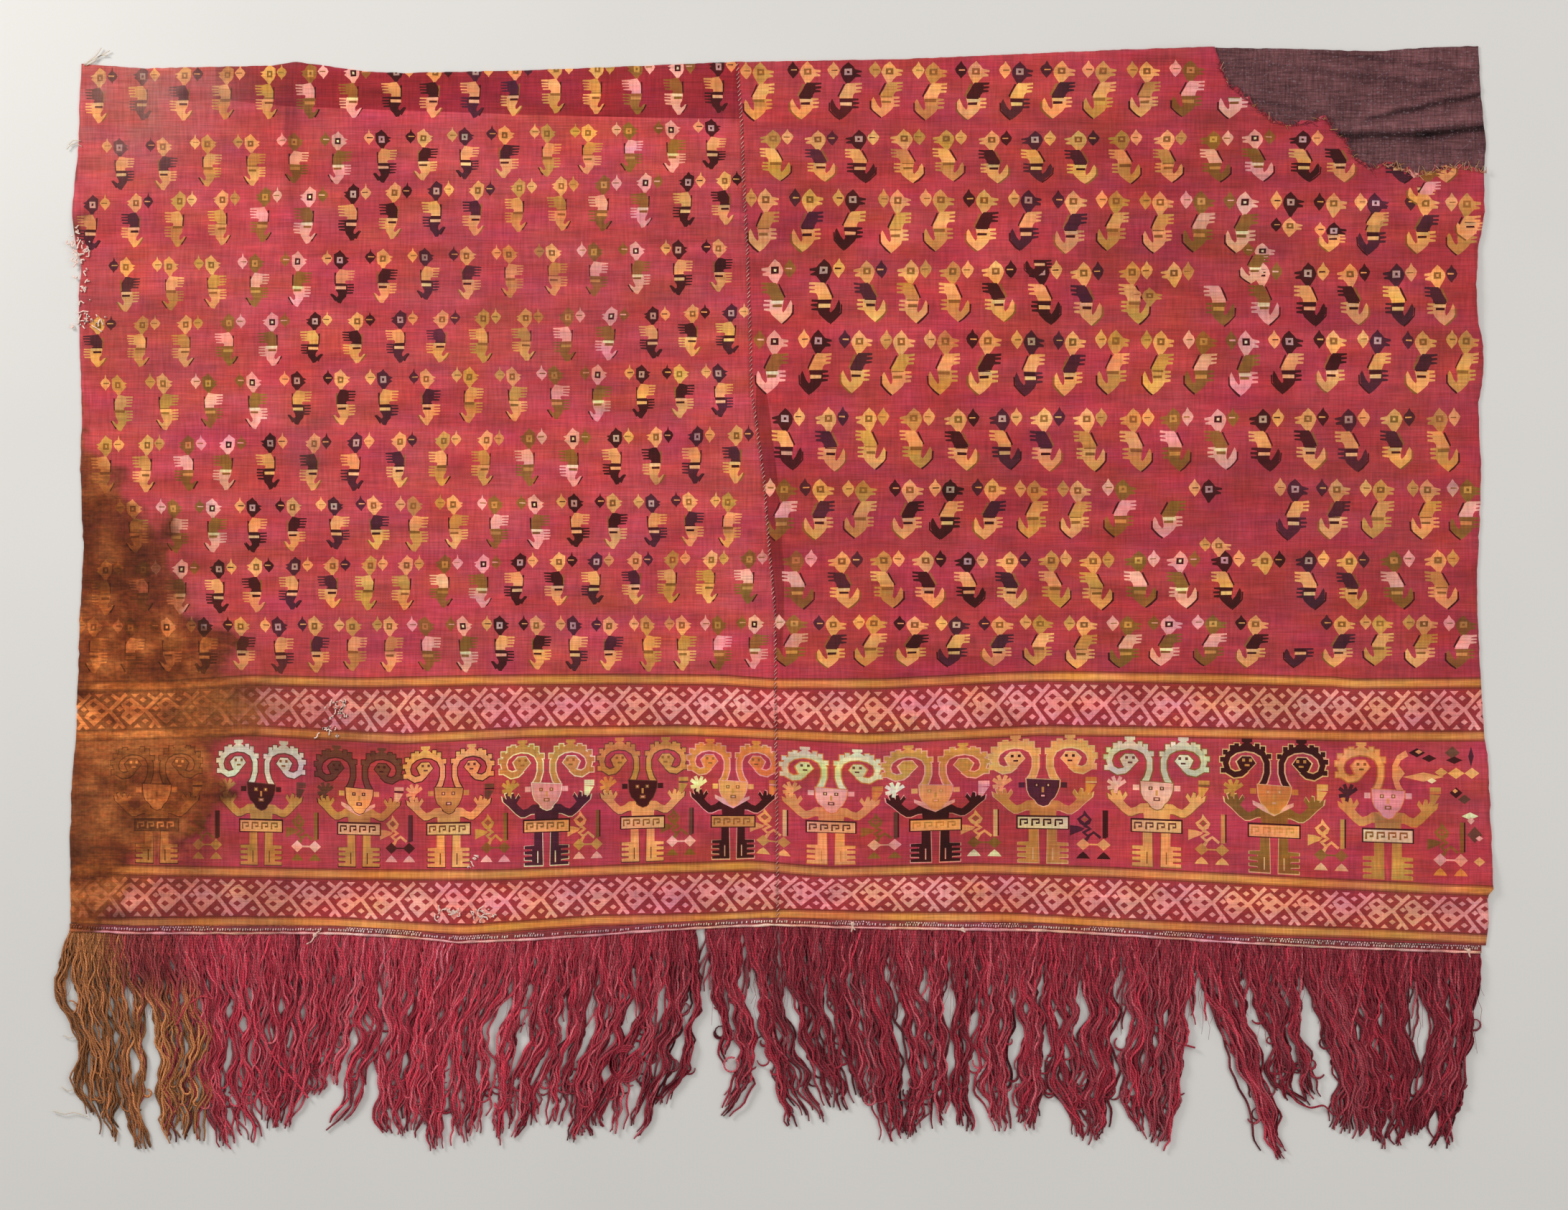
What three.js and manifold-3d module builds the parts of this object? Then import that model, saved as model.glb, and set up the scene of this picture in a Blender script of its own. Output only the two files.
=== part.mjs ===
// Woven mantle of two loom widths, lying face up and flat: two tapestry-woven webs sewn edge to
// edge, a plain backing cloth under the torn corner, and a fringe whose woven heading is sewn
// along the lower edge. Millimetres, +X along the width, +Y towards the plain top edge, +Z up.
// The origin lies under the middle of the whole mantle, on the surface that it rests on.
import * as THREE from 'three';
import { mergeVertices } from 'three/addons/utils/BufferGeometryUtils.js';
import Module from 'manifold-3d';

// Driving dimensions
const WEB_THICK = 1.6;          // tapestry cloth of the two webs
const PATCH_THICK = 1.2;        // plain-weave backing cloth
const SEWN_GAP = 0.3;           // between pieces that are sewn or laid together
const HEADING_TALL = 7;         // woven heading of the fringe, above the cord line
const HEADING_BELOW = 1;        // the heading's cord, below the cord line
const HEADING_THICK = 2.2;
const HEADING_LEFT = -754;
const HEADING_RIGHT = 759;
const LOCK_PITCH = 13.2;        // width of heading that feeds one lock of fringe
const LOCK_FILL = 0.88;         // part of its room that a lock fills
const LOCK_ROOT_RISE = 1.7;     // height of a lock inside the heading
const LOCK_RISE = 5.2;          // height of a lock at its fullest
const LOCK_TIP_RISE = 1.8;
const LOCK_WAVE = 1.6;          // sideways wave that all locks share
const LOCK_WAVE_LENGTH = 92;
const LOCK_STEPS = 8;
const GRID_PITCH = 34;          // spacing of the webs' plain grid lines
const PATCH_PITCH = 20;
const PATCH_LEFT = 466;         // hidden left edge of the patch
const PATCH_BOTTOM = 449;       // hidden lower edge of the patch
const LIFT_FULL = 40;           // the web stays lifted this far past the patch
const LIFT_FADE = 45;           // and settles to the surface over this length

// Turns rows of numbers into records with the named columns.
const table = (columns, rows) => {
  const names = columns.split(' ');
  return rows.map((row) => Object.fromEntries(names.map((name, i) => [name, row[i]])));
};

// Edges of the webs. Side edges give x for a height y, the others give y for a place x.
const LEFT_EDGE = table('at value', [
  [-352, -753], [-260, -754], [-193, -752], [-135, -747], [-8, -743], [59, -739], [143, -743],
  [210, -741], [328, -745], [357, -741], [395, -748], [420, -752], [488, -745], [579, -742],
]);
const SEAM = table('at value', [
  [-344, 5], [-86, 2], [-15, 2], [78, -6], [132, -10], [170, -15], [223, -23], [292, -25],
  [378, -28], [457, -32], [515, -34], [582, -39],
]);
const RIGHT_EDGE = table('at value', [
  [-370, 763], [-346, 767], [-315, 765], [-306, 771], [-260, 770], [-177, 767], [-137, 762],
  [-90, 759], [-13, 755], [35, 755], [140, 759], [213, 756], [249, 762], [279, 761], [301, 755],
  [341, 753], [380, 755], [417, 762], [464, 762],
]);
const TOP_LEFT_WEB = table('at value', [
  [-745, 579], [-675, 574], [-537, 577], [-511, 581], [-440, 571], [-398, 569], [-260, 572],
  [-158, 576], [-39, 581],
]);
const TOP_RIGHT_WEB = table('at value', [
  [-39, 581], [32, 582], [141, 584], [372, 594], [473, 597], [480, 575], [490, 556], [507, 543],
  [534, 519], [556, 514], [592, 522], [599, 510], [614, 497], [623, 479], [641, 467], [657, 473],
  [691, 461], [728, 470], [765, 464],
]);
const CORD_LINE = table('at value', [
  [-754, -350], [-680, -353], [-474, -353], [-398, -357], [-336, -363], [-267, -360], [-192, -355],
  [-89, -348], [-3, -344], [83, -347], [288, -350], [372, -355], [494, -363], [617, -369],
  [767, -374],
]);
const TOP_PATCH = table('at value', [
  [466, 596], [556, 595], [648, 592], [709, 597], [755, 598],
]);
const PATCH_RIGHT_EDGE = table('at value', [
  [449, 761], [494, 764], [540, 759], [598, 756],
]);

// Soft ridges of the cloth: centre, direction in degrees from +X, length, width and height.
const WEB_FOLDS = table('x y turn long wide rise', [
  [-521, 480, 90, 230, 30, 3.6],      // ridge down from the small peak of the top edge
  [3, 124, 96, 240, 26, 3.2],         // tuck beside the seam
  [-748, 385, 90, 110, 40, 3.0],      // curled left edge
  [757, 335, 90, 150, 40, 3.2],       // curled right edge
  [770, -300, 90, 90, 44, 3.4],       // curled lower right corner
  [-336, -320, 90, 110, 90, 2.4],     // cockle where the border dips
  [560, -325, 90, 110, 110, 2.4],     // cockle in the right border
  [-150, 545, 12, 210, 70, 2.0],      // slack along the top edge
  [300, 300, 14, 380, 90, 1.8],
  [-330, 90, -10, 330, 90, 1.8],
  [430, -40, 8, 340, 90, 1.8],
]);
const PATCH_FOLDS = table('x y turn long wide rise', [
  [702, 506, 9, 128, 22, 3.0],        // thick crease across the patch
  [729, 543, 8, 60, 16, 2.0],
  [668, 563, 42, 80, 18, 1.8],
]);

// Clumps of fringe from left to right. Each pair gives the clump's left and right side: root on
// the cord line, a, b and c at the three levels below, and its end, which lies at height tip.
const LEVEL_A = -405;
const LEVEL_B = -460;
const LEVEL_C = -515;
const CLUMPS = table('root0 root1 a0 a1 b0 b1 c0 c1 end0 end1 tip', [
  [-754, -743, -772, -760, -749, -739, -746, -733, -735, -730, -550],
  [-743, -723, -754, -719, -738, -706, -731, -704, -719, -704, -577],
  [-723, -696, -711, -680, -704, -666, -701, -673, -680, -664, -585],
  [-696, -656, -677, -640, -661, -631, -656, -639, -653, -640, -579],
  [-656, -635, -635, -619, -627, -611, -636, -616, -637, -621, -579],
  [-635, -597, -616, -587, -609, -584, -611, -592, -592, -574, -585],
  [-597, -571, -584, -563, -579, -558, -582, -558, -571, -547, -578],
  [-571, -531, -562, -529, -558, -529, -555, -534, -544, -531, -563],
  [-531, -486, -529, -483, -527, -494, -532, -497, -529, -515, -563],
  [-486, -441, -483, -441, -493, -452, -495, -465, -502, -483, -529],
  [-441, -417, -440, -422, -449, -420, -457, -436, -472, -468, -565],
  [-417, -377, -414, -385, -417, -391, -425, -396, -420, -396, -571],
  [-377, -337, -382, -350, -386, -364, -394, -369, -393, -382, -573],
  [-337, -311, -348, -326, -362, -345, -368, -356, -368, -361, -587],
  [-311, -271, -324, -276, -341, -308, -348, -300, -338, -321, -578],
  [-271, -250, -273, -260, -292, -276, -296, -284, -300, -292, -581],
  [-250, -212, -258, -218, -260, -228, -281, -244, -285, -260, -573],
  [-212, -186, -215, -191, -223, -202, -242, -215, -244, -228, -563],
  [-186, -149, -186, -151, -194, -159, -212, -186, -215, -202, -578],
  [-149, -117, -144, -120, -149, -128, -181, -159, -189, -165, -569],
  [-117, -93, -114, -88, -122, -104, -151, -114, -151, -144, -574],
  [-93, -84, -85, -76, -90, -84, -109, -96, -125, -117, -537],
  [-73, -61, -63, -53, -55, -48, -53, -45, -53, -45, -494],
  [-61, -35, -51, -37, -35, -23, -39, -23, -64, -51, -550],
  [-35, -13, -16, -8, -12, 3, 1, 21, 16, 37, -561],
  [-13, 5, -6, 3, 5, 24, 24, 44, 40, 64, -559],
  [5, 48, 16, 51, 29, 64, 48, 74, 64, 80, -545],
  [48, 88, 59, 80, 66, 96, 80, 104, 88, 104, -537],
  [88, 125, 85, 119, 101, 135, 109, 137, 123, 138, -577],
  [125, 159, 135, 159, 143, 167, 151, 170, 143, 151, -574],
  [159, 188, 166, 182, 170, 184, 173, 188, 170, 188, -563],
  [188, 220, 194, 220, 191, 212, 191, 212, 194, 215, -566],
  [220, 255, 223, 257, 218, 255, 220, 252, 234, 255, -566],
  [255, 292, 260, 281, 268, 289, 263, 287, 260, 281, -565],
  [292, 326, 292, 324, 295, 324, 300, 329, 329, 340, -574],
  [326, 369, 334, 369, 332, 363, 334, 362, 340, 344, -581],
  [369, 411, 382, 411, 381, 409, 369, 403, 395, 409, -577],
  [411, 453, 413, 447, 410, 441, 405, 437, 408, 417, -587],
  [454, 497, 459, 499, 482, 516, 510, 526, 542, 548, -598],
  [497, 536, 510, 542, 531, 551, 538, 555, 558, 573, -542],
  [536, 558, 546, 562, 558, 564, 568, 579, 575, 580, -534],
  [558, 605, 569, 605, 592, 626, 609, 637, 600, 626, -574],
  [605, 640, 608, 642, 629, 653, 640, 661, 645, 661, -585],
  [640, 677, 646, 676, 658, 682, 666, 687, 664, 674, -582],
  [677, 717, 690, 719, 709, 727, 695, 714, 680, 703, -571],
  [717, 758, 722, 756, 729, 747, 715, 738, 709, 726, -586],
]);

// Value of an edge table at a place, on straight lines between its rows.
const edgeValue = (rows, at) => {
  let i = 1;
  while (i < rows.length - 1 && rows[i].at < at) i += 1;
  const before = rows[i - 1];
  const after = rows[i];
  const share = THREE.MathUtils.clamp((at - before.at) / (after.at - before.at), 0, 1);
  return THREE.MathUtils.lerp(before.value, after.value, share);
};

// Height of the soft ridges: a squared cosine across each, fading at its ends the same way.
const foldHeight = (folds, x, y) => {
  let height = 0;
  for (const fold of folds) {
    const turn = THREE.MathUtils.degToRad(fold.turn);
    const along = (x - fold.x) * Math.cos(turn) + (y - fold.y) * Math.sin(turn);
    const across = (y - fold.y) * Math.cos(turn) - (x - fold.x) * Math.sin(turn);
    const endShare = Math.min(1, Math.abs(along) / (fold.long / 2));
    const sideShare = Math.min(1, Math.abs(across) / (fold.wide / 2));
    height += fold.rise * Math.cos(Math.PI / 2 * endShare) ** 2 * Math.cos(Math.PI / 2 * sideShare) ** 2;
  }
  return height;
};

// The right web is lifted where it laps over the patch, and settles beyond it.
const lapLift = (x, y) => {
  const dx = Math.max(0, PATCH_LEFT - x);
  const dy = Math.max(0, PATCH_BOTTOM - y);
  const share = 1 - THREE.MathUtils.smoothstep(Math.hypot(dx, dy), LIFT_FULL, LIFT_FULL + LIFT_FADE);
  return (PATCH_THICK + SEWN_GAP) * share;
};

// A cloth as a closed sheet: places is a grid of [x, y, underside z], thick its thickness.
const sheetGeometry = (places, thick) => {
  const rows = places.length;
  const columns = places[0].length;
  const layer = rows * columns;
  const flatPlaces = places.flat();
  const positions = [
    ...flatPlaces.flatMap(([x, y, z]) => [x, y, z]),
    ...flatPlaces.flatMap(([x, y, z]) => [x, y, z + thick]),
  ];
  const faces = [];
  const quad = (a, b, c, d) => faces.push(a, b, c, a, c, d);
  for (let j = 0; j < rows - 1; j += 1) {
    for (let i = 0; i < columns - 1; i += 1) {
      const a = j * columns + i;
      const b = a + 1;
      const c = b + columns;
      const d = a + columns;
      quad(a, d, c, b);
      quad(layer + a, layer + b, layer + c, layer + d);
    }
  }
  const rim = [];
  for (let i = 0; i < columns - 1; i += 1) rim.push(i);
  for (let j = 0; j < rows - 1; j += 1) rim.push(j * columns + columns - 1);
  for (let i = columns - 1; i > 0; i -= 1) rim.push((rows - 1) * columns + i);
  for (let j = rows - 1; j > 0; j -= 1) rim.push(j * columns);
  rim.forEach((a, k) => {
    const b = rim[(k + 1) % rim.length];
    quad(a, b, layer + b, layer + a);
  });
  const geometry = new THREE.BufferGeometry();
  geometry.setAttribute('position', new THREE.Float32BufferAttribute(positions, 3));
  geometry.setIndex(faces);
  geometry.computeVertexNormals();
  return geometry;
};

// Grid lines between two ends: evenly spaced, with extra lines at the places that folds need.
const gridLines = (from, to, pitch, extras) => {
  const steps = Math.ceil((to - from) / pitch);
  const lines = Array.from({ length: steps + 1 }, (_, i) => THREE.MathUtils.lerp(from, to, i / steps));
  const inside = extras.filter((place) => place > from + pitch / 4 && place < to - pitch / 4);
  const kept = lines.filter((line, i) => i === 0 || i === steps
    || inside.every((place) => Math.abs(place - line) > pitch / 3));
  return [...kept, ...inside].sort((a, b) => a - b);
};

// A cloth between four edges. Shares of the way across and up are turned to places by a few
// rounds of: the height from the lower and upper edge, then the place from the side edges.
const clothPlaces = ({ left, right, lower, upper, across, up, height }) => up.map((v) => across.map((u) => {
  let x = THREE.MathUtils.lerp(left(0), right(0), u);
  let y = 0;
  for (let round = 0; round < 4; round += 1) {
    y = THREE.MathUtils.lerp(lower(x), upper(x), v);
    x = THREE.MathUtils.lerp(left(y), right(y), u);
  }
  return [x, y, height(x, y)];
}));

// Shares of a length for grid lines given as places on it.
const shares = (lines) => lines.map((line) => (line - lines[0]) / (lines.at(-1) - lines[0]));

const cordLine = (x) => edgeValue(CORD_LINE, x);
const webLower = (x) => cordLine(x) + HEADING_TALL + SEWN_GAP;
const seamLine = (y) => edgeValue(SEAM, y);

// Left web, from the left edge to the seam
const leftWebPlaces = () => {
  const columns = gridLines(-745, -20, GRID_PITCH, [-732, -536, -521, -506]);
  const rows = gridLines(-345, 580, GRID_PITCH, []);
  return clothPlaces({
    left: (y) => edgeValue(LEFT_EDGE, y),
    right: (y) => seamLine(y) - SEWN_GAP / 2,
    lower: webLower,
    upper: (x) => edgeValue(TOP_LEFT_WEB, x),
    across: shares(columns),
    up: shares(rows),
    height: (x, y) => foldHeight(WEB_FOLDS, x, y),
  });
};

// Right web, from the seam to the right edge, with the torn upper corner
const rightWebPlaces = () => {
  const tear = [473, 481, 490, 507, 534, 556, 592, 601, 614, 624, 641, 657, 691, 728];
  const columns = gridLines(-20, 762, GRID_PITCH, [-9, 4, 16, ...tear, 746]);
  const rows = gridLines(-345, 580, GRID_PITCH, []);
  return clothPlaces({
    left: (y) => seamLine(y) + SEWN_GAP / 2,
    right: (y) => edgeValue(RIGHT_EDGE, y),
    lower: webLower,
    upper: (x) => edgeValue(TOP_RIGHT_WEB, x),
    across: shares(columns),
    up: shares(rows),
    height: (x, y) => foldHeight(WEB_FOLDS, x, y) + lapLift(x, y),
  });
};

// Backing cloth, which shows above and beside the tear
const cornerPatchGeometry = () => {
  const columns = gridLines(PATCH_LEFT, 762, PATCH_PITCH, []);
  const rows = gridLines(PATCH_BOTTOM, 597, PATCH_PITCH, [485, 495, 506, 517, 528, 543]);
  return sheetGeometry(clothPlaces({
    left: () => PATCH_LEFT,
    right: (y) => edgeValue(PATCH_RIGHT_EDGE, y),
    lower: () => PATCH_BOTTOM,
    upper: (x) => edgeValue(TOP_PATCH, x),
    across: shares(columns),
    up: shares(rows),
    height: (x, y) => foldHeight(PATCH_FOLDS, x, y),
  }), PATCH_THICK);
};

// Heading of the fringe: a narrow flat strip along the cord line. It bends at the same places
// as the webs' lower edges, so that it keeps its even gap to them.
const headingGeometry = (webEdge) => {
  const bends = webEdge.filter((x) => x > HEADING_LEFT + SEWN_GAP && x < HEADING_RIGHT - SEWN_GAP);
  const columns = [HEADING_LEFT, ...bends, HEADING_RIGHT];
  const strip = (offset) => columns.map((x) => [x, cordLine(x) + offset, 0]);
  return sheetGeometry([strip(-HEADING_BELOW), strip(HEADING_TALL)], HEADING_THICK);
};

// One lock: a three-sided tapering strand that lies on its flat side. It follows its own share
// of the clump's width through the levels and ends at the clump's tip.
const lockGeometry = (clump, share, count) => {
  const rootY = cordLine(THREE.MathUtils.lerp(clump.root0, clump.root1, share));
  const side = (name) => table('at value', [
    [clump.tip, clump[`end${name}`]], [LEVEL_C, clump[`c${name}`]], [LEVEL_B, clump[`b${name}`]],
    [LEVEL_A, clump[`a${name}`]], [rootY, clump[`root${name}`]],
  ].filter(([at], i) => i === 0 || at > clump.tip + 8));
  const left = side(0);
  const right = side(1);
  const start = rootY + HEADING_TALL / 2;
  const below = rootY - HEADING_BELOW - 1;
  const positions = [];
  for (let k = 0; k <= LOCK_STEPS; k += 1) {
    const t = Math.max(0, (k - 1) / (LOCK_STEPS - 1));
    const y = k === 0 ? start : THREE.MathUtils.lerp(below, clump.tip, t);
    const leftX = edgeValue(left, y);
    const rightX = edgeValue(right, y);
    const wave = LOCK_WAVE * Math.sin(y / LOCK_WAVE_LENGTH * 2 * Math.PI) * t;
    const x = THREE.MathUtils.lerp(leftX, rightX, share) + wave;
    const half = (rightX - leftX) / count / 2 * LOCK_FILL * (t > 0.99 ? 0.3 : 1);
    const swell = THREE.MathUtils.smoothstep(t, 0, 0.35);
    const fade = THREE.MathUtils.smoothstep(t, 0.7, 1);
    const full = THREE.MathUtils.lerp(LOCK_ROOT_RISE, LOCK_RISE, swell);
    const rise = THREE.MathUtils.lerp(full, LOCK_TIP_RISE, fade);
    positions.push(x - half, y, 0, x + half, y, 0, x, y, rise);
  }
  const faces = [0, 2, 1];
  for (let k = 0; k < LOCK_STEPS; k += 1) {
    const a = 3 * k;
    for (const [p, q] of [[0, 1], [1, 2], [2, 0]]) {
      faces.push(a + p, a + q, a + 3 + q, a + p, a + 3 + q, a + 3 + p);
    }
  }
  const last = 3 * LOCK_STEPS;
  faces.push(last, last + 1, last + 2);
  const geometry = new THREE.BufferGeometry();
  geometry.setAttribute('position', new THREE.Float32BufferAttribute(positions, 3));
  geometry.setIndex(faces);
  return geometry;
};

const wasm = await Module();
wasm.setup();

// A closed geometry as a solid that can be joined to others
const toSolid = (geometry) => {
  const bare = geometry.clone();
  bare.deleteAttribute('normal');
  const merged = mergeVertices(bare, 1e-4);
  return new wasm.Manifold(new wasm.Mesh({
    numProp: 3,
    vertProperties: new Float32Array(merged.attributes.position.array),
    triVerts: new Uint32Array(merged.index.array),
  }));
};

// Fringe: every lock joined to the heading by its root
const fringeGeometry = (webEdge) => {
  let solid = toSolid(headingGeometry(webEdge));
  for (const clump of CLUMPS) {
    const count = Math.max(1, Math.round((clump.root1 - clump.root0) / LOCK_PITCH));
    for (let i = 0; i < count; i += 1) {
      solid = solid.add(toSolid(lockGeometry(clump, (i + 0.5) / count, count)));
    }
  }
  const mesh = solid.getMesh();
  const geometry = new THREE.BufferGeometry();
  geometry.setAttribute('position', new THREE.BufferAttribute(new Float32Array(mesh.vertProperties), 3));
  geometry.setIndex(new THREE.BufferAttribute(new Uint32Array(mesh.triVerts), 1));
  geometry.computeVertexNormals();
  return geometry;
};

const cloth = (colour, roughness) => new THREE.MeshStandardMaterial({
  color: colour, roughness, metalness: 0, side: THREE.FrontSide,
});

const addPiece = (parent, name, geometry, material) => {
  const mesh = new THREE.Mesh(geometry, material);
  mesh.name = name;
  parent.add(mesh);
};

const leftPlaces = leftWebPlaces();
const rightPlaces = rightWebPlaces();
const webEdge = [...leftPlaces[0], ...rightPlaces[0].slice(1)].map(([x]) => x);

const mantle = new THREE.Group();
addPiece(mantle, 'left_web', sheetGeometry(leftPlaces, WEB_THICK), cloth(0xb64550, 0.92));
addPiece(mantle, 'right_web', sheetGeometry(rightPlaces, WEB_THICK), cloth(0xae3d48, 0.92));
addPiece(mantle, 'corner_patch', cornerPatchGeometry(), cloth(0x553a3e, 0.95));
addPiece(mantle, 'fringe', fringeGeometry(webEdge), cloth(0x96333f, 0.94));

export default mantle;
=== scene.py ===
"""Woven mantle of two loom widths, laid face up: two tapestry webs sewn edge to edge, a plain
backing cloth under the torn corner, and a plied fringe hanging from a narrow woven heading.

Tables are in millimetres in the part's own frame: +X along the width, +Y towards the plain top
edge, +Z up from the surface that it lies on. Meshes are written in metres.
"""

import logging
from collections.abc import Iterable
from dataclasses import dataclass, field
from enum import Enum
from typing import Any, NamedTuple

import bpy
import numpy as np
from mathutils.geometry import delaunay_2d_cdt
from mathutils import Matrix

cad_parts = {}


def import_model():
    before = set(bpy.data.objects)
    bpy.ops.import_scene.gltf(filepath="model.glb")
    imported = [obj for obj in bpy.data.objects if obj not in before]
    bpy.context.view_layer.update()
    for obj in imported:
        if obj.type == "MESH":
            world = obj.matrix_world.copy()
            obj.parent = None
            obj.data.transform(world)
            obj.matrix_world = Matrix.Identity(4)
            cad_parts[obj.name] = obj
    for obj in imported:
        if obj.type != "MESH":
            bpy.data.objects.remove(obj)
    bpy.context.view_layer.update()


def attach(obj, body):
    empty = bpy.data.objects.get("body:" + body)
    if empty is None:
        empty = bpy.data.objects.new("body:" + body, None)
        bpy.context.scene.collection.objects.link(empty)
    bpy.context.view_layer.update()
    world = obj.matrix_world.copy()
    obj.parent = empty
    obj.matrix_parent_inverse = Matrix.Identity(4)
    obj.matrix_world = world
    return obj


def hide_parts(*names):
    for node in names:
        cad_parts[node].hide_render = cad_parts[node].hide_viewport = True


LOG = logging.getLogger("mantle")
MM = 0.001
NOISE_CELLS = 128       # soft noise repeats after so many cells

Array = np.ndarray
Random = np.random.Generator


def chart(text: str) -> Array:
    """Points written as "x,y x,y ..." as an array of two columns."""
    return np.array([[float(number) for number in pair.split(",")] for pair in text.split()])


def charted(text: str) -> Any:
    """A dataclass field whose default is the chart."""
    return field(default_factory=lambda: chart(text))


def words(text: str) -> list[list[str]]:
    """The words of each line."""
    return [line.split() for line in text.strip().splitlines()]


def table(text: str) -> Array:
    """Rows of numbers written line by line as an array."""
    return np.array([[float(number) for number in row] for row in words(text)])


def linear(hex_colour: str) -> Array:
    """Linear red, green and blue of an sRGB hex colour such as "#B34350"."""
    srgb = np.array([int(hex_colour[i:i + 2], 16) for i in (1, 3, 5)]) / 255
    return np.where(srgb <= 0.04045, srgb / 12.92, ((srgb + 0.055) / 1.055) ** 2.4)


def smoothstep(value: Array, low: float, high: float) -> Array:
    """0 below low, 1 above high, and the cubic 3t^2 - 2t^3 between them."""
    share = np.clip((value - low) / (high - low), 0, 1)
    return share * share * (3 - 2 * share)


def soft_noise(x: Array, y: Array, cell: tuple[float, float], seed: int) -> Array:
    """Smooth noise from 0 to 1: seeded values on a lattice of cells, eased between its corners.

    Args:
        x: places along x.
        y: places along y.
        cell: size of a cell.
        seed: the noise's own number.

    Returns:
        The noise at each place.
    """
    values = np.random.default_rng(seed).random((NOISE_CELLS, NOISE_CELLS))
    u, v = np.asarray(x) / cell[0], np.asarray(y) / cell[1]
    i, j = np.floor(u).astype(int), np.floor(v).astype(int)
    s, t = smoothstep(u - i, 0, 1), smoothstep(v - j, 0, 1)
    i0, i1, j0, j1 = (k % NOISE_CELLS for k in (i, i + 1, j, j + 1))
    near = values[i0, j0] * (1 - s) + values[i1, j0] * s
    far = values[i0, j1] * (1 - s) + values[i1, j1] * s
    return near * (1 - t) + far * t


@dataclass(frozen=True)
class Edge:
    """An edge of the cloth: places and values, straight between them and level past the ends."""

    rows: Array

    def at(self, places: Array) -> Array:
        """Value of the edge at the places."""
        return np.interp(places, self.rows[:, 0], self.rows[:, 1])


# Ends of the border bands that are cut off at each web's own edges
LEFT_BORDERS = (-770.0, 12.0)
RIGHT_BORDERS = (-12.0, 786.0)

# Edges of the pieces, as in the part's source. Side edges give x for a height y.
LEFT_EDGE = Edge(chart("""
-352,-753 -260,-754 -193,-752 -135,-747 -8,-743 59,-739 143,-743 210,-741 328,-745 357,-741 395,-748
420,-752 488,-745 579,-742"""))
SEAM = Edge(chart("""
-344,5 -86,2 -15,2 78,-6 132,-10 170,-15 223,-23 292,-25 378,-28 457,-32 515,-34 582,-39"""))
RIGHT_EDGE = Edge(chart("""
-370,763 -346,767 -315,765 -306,771 -260,770 -177,767 -137,762 -90,759 -13,755 35,755 140,759 213,756
249,762 279,761 301,755 341,753 380,755 417,762 464,762"""))
TOP_LEFT = Edge(chart("""
-745,579 -675,574 -537,577 -511,581 -440,571 -398,569 -260,572 -158,576 -39,581"""))
TOP_RIGHT = Edge(chart("""
-39,581 32,582 141,584 372,594 473,597 480,575 490,556 507,543 534,519 556,514 592,522 599,510 614,497
623,479 641,467 657,473 691,461 728,470 765,464"""))
CORD_LINE = Edge(chart("""
-754,-350 -680,-353 -474,-353 -398,-357 -336,-363 -267,-360 -192,-355 -89,-348 -3,-344 83,-347 288,-350
372,-355 494,-363 617,-369 767,-374"""))
TOP_PATCH = Edge(chart("""
466,596 556,595 648,592 709,597 755,598"""))
PATCH_RIGHT = Edge(chart("""
449,761 494,764 540,759 598,756"""))

WEB_THICK = 1.6
PATCH_THICK = 1.2
SEWN_GAP = 0.3
HEADING_TALL = 7.0
HEADING_BELOW = 1.0
HEADING_THICK = 2.2
HEADING_ENDS = (-754.0, 759.0)
SEAM_ENDS = (-340.0, 581.0)
PATCH_LEFT = 466.0
PATCH_BOTTOM = 449.0
PATCH_REACH = 760.0     # right of the patch, before its own edge is read
LIFT_FULL = 40.0        # the web stays lifted this far past the patch
LIFT_FADE = 45.0        # and settles to the surface over this length
FRINGE_SIDES = (-769.0, 768.0)
FRINGE_FOOT = -597.0

# Soft ridges of the cloth: centre, direction in degrees from +X, length, width and height.
WEB_FOLDS = table("""
-521 480 90 230 30 3.6
3 124 96 240 26 3.2
-748 385 90 110 40 3
757 335 90 150 40 3.2
770 -300 90 90 44 3.4
-336 -320 90 110 90 2.4
560 -325 90 110 110 2.4
-150 545 12 210 70 2
300 300 14 380 90 1.8
-330 90 -10 330 90 1.8
430 -40 8 340 90 1.8""")
PATCH_FOLDS = table("""
702 506 9 128 22 3
729 543 8 60 16 2
668 563 42 80 18 1.8""")

# Creases of the patch: both ends, half width and depth of shade
CREASES = table("""
604 502 700 503 5 0.80
700 503 760 511 5.5 0.85
640 521 758 546 3.4 0.70
560 574 700 556 4 0.30
596 590 752 571 3.4 0.28
520 540 600 520 4 0.22""")

# Centre lines of the four gold stripes, which are twice STRIPE_HALF tall
STRIPES = tuple(Edge(chart(rows)) for rows in """
-745,-89 -645,-88 -560,-82 -440,-85 -295,-82 -158,-81 -55,-82 2,-86 116,-86 253,-79 305,-78 372,-79
494,-81 600,-84 620,-86 758,-85

-745,-142 -560,-136 -440,-143 -398,-145 -260,-138 -89,-136 2,-140 99,-145 288,-136 372,-137 494,-139
617,-142 762,-142

-742,-284 -680,-286 -474,-290 -398,-291 -295,-291 -123,-284 -20,-281 32,-286 65,-288 219,-284 357,-288
494,-295 586,-300 709,-306 770,-308

-748,-343 -577,-341 -474,-342 -370,-348 -330,-350 -192,-340 -55,-337 15,-333 116,-336 253,-337 357,-343
494,-349 617,-353 761,-360""".split("\n\n"))
STRIPE_HALF = 6.2       # to the outer side of the dark edge
STRIPE_MIDDLE = 4.5     # to the outer side of the brown
STRIPE_CORE = 2.8       # to the outer side of the gold


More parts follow.
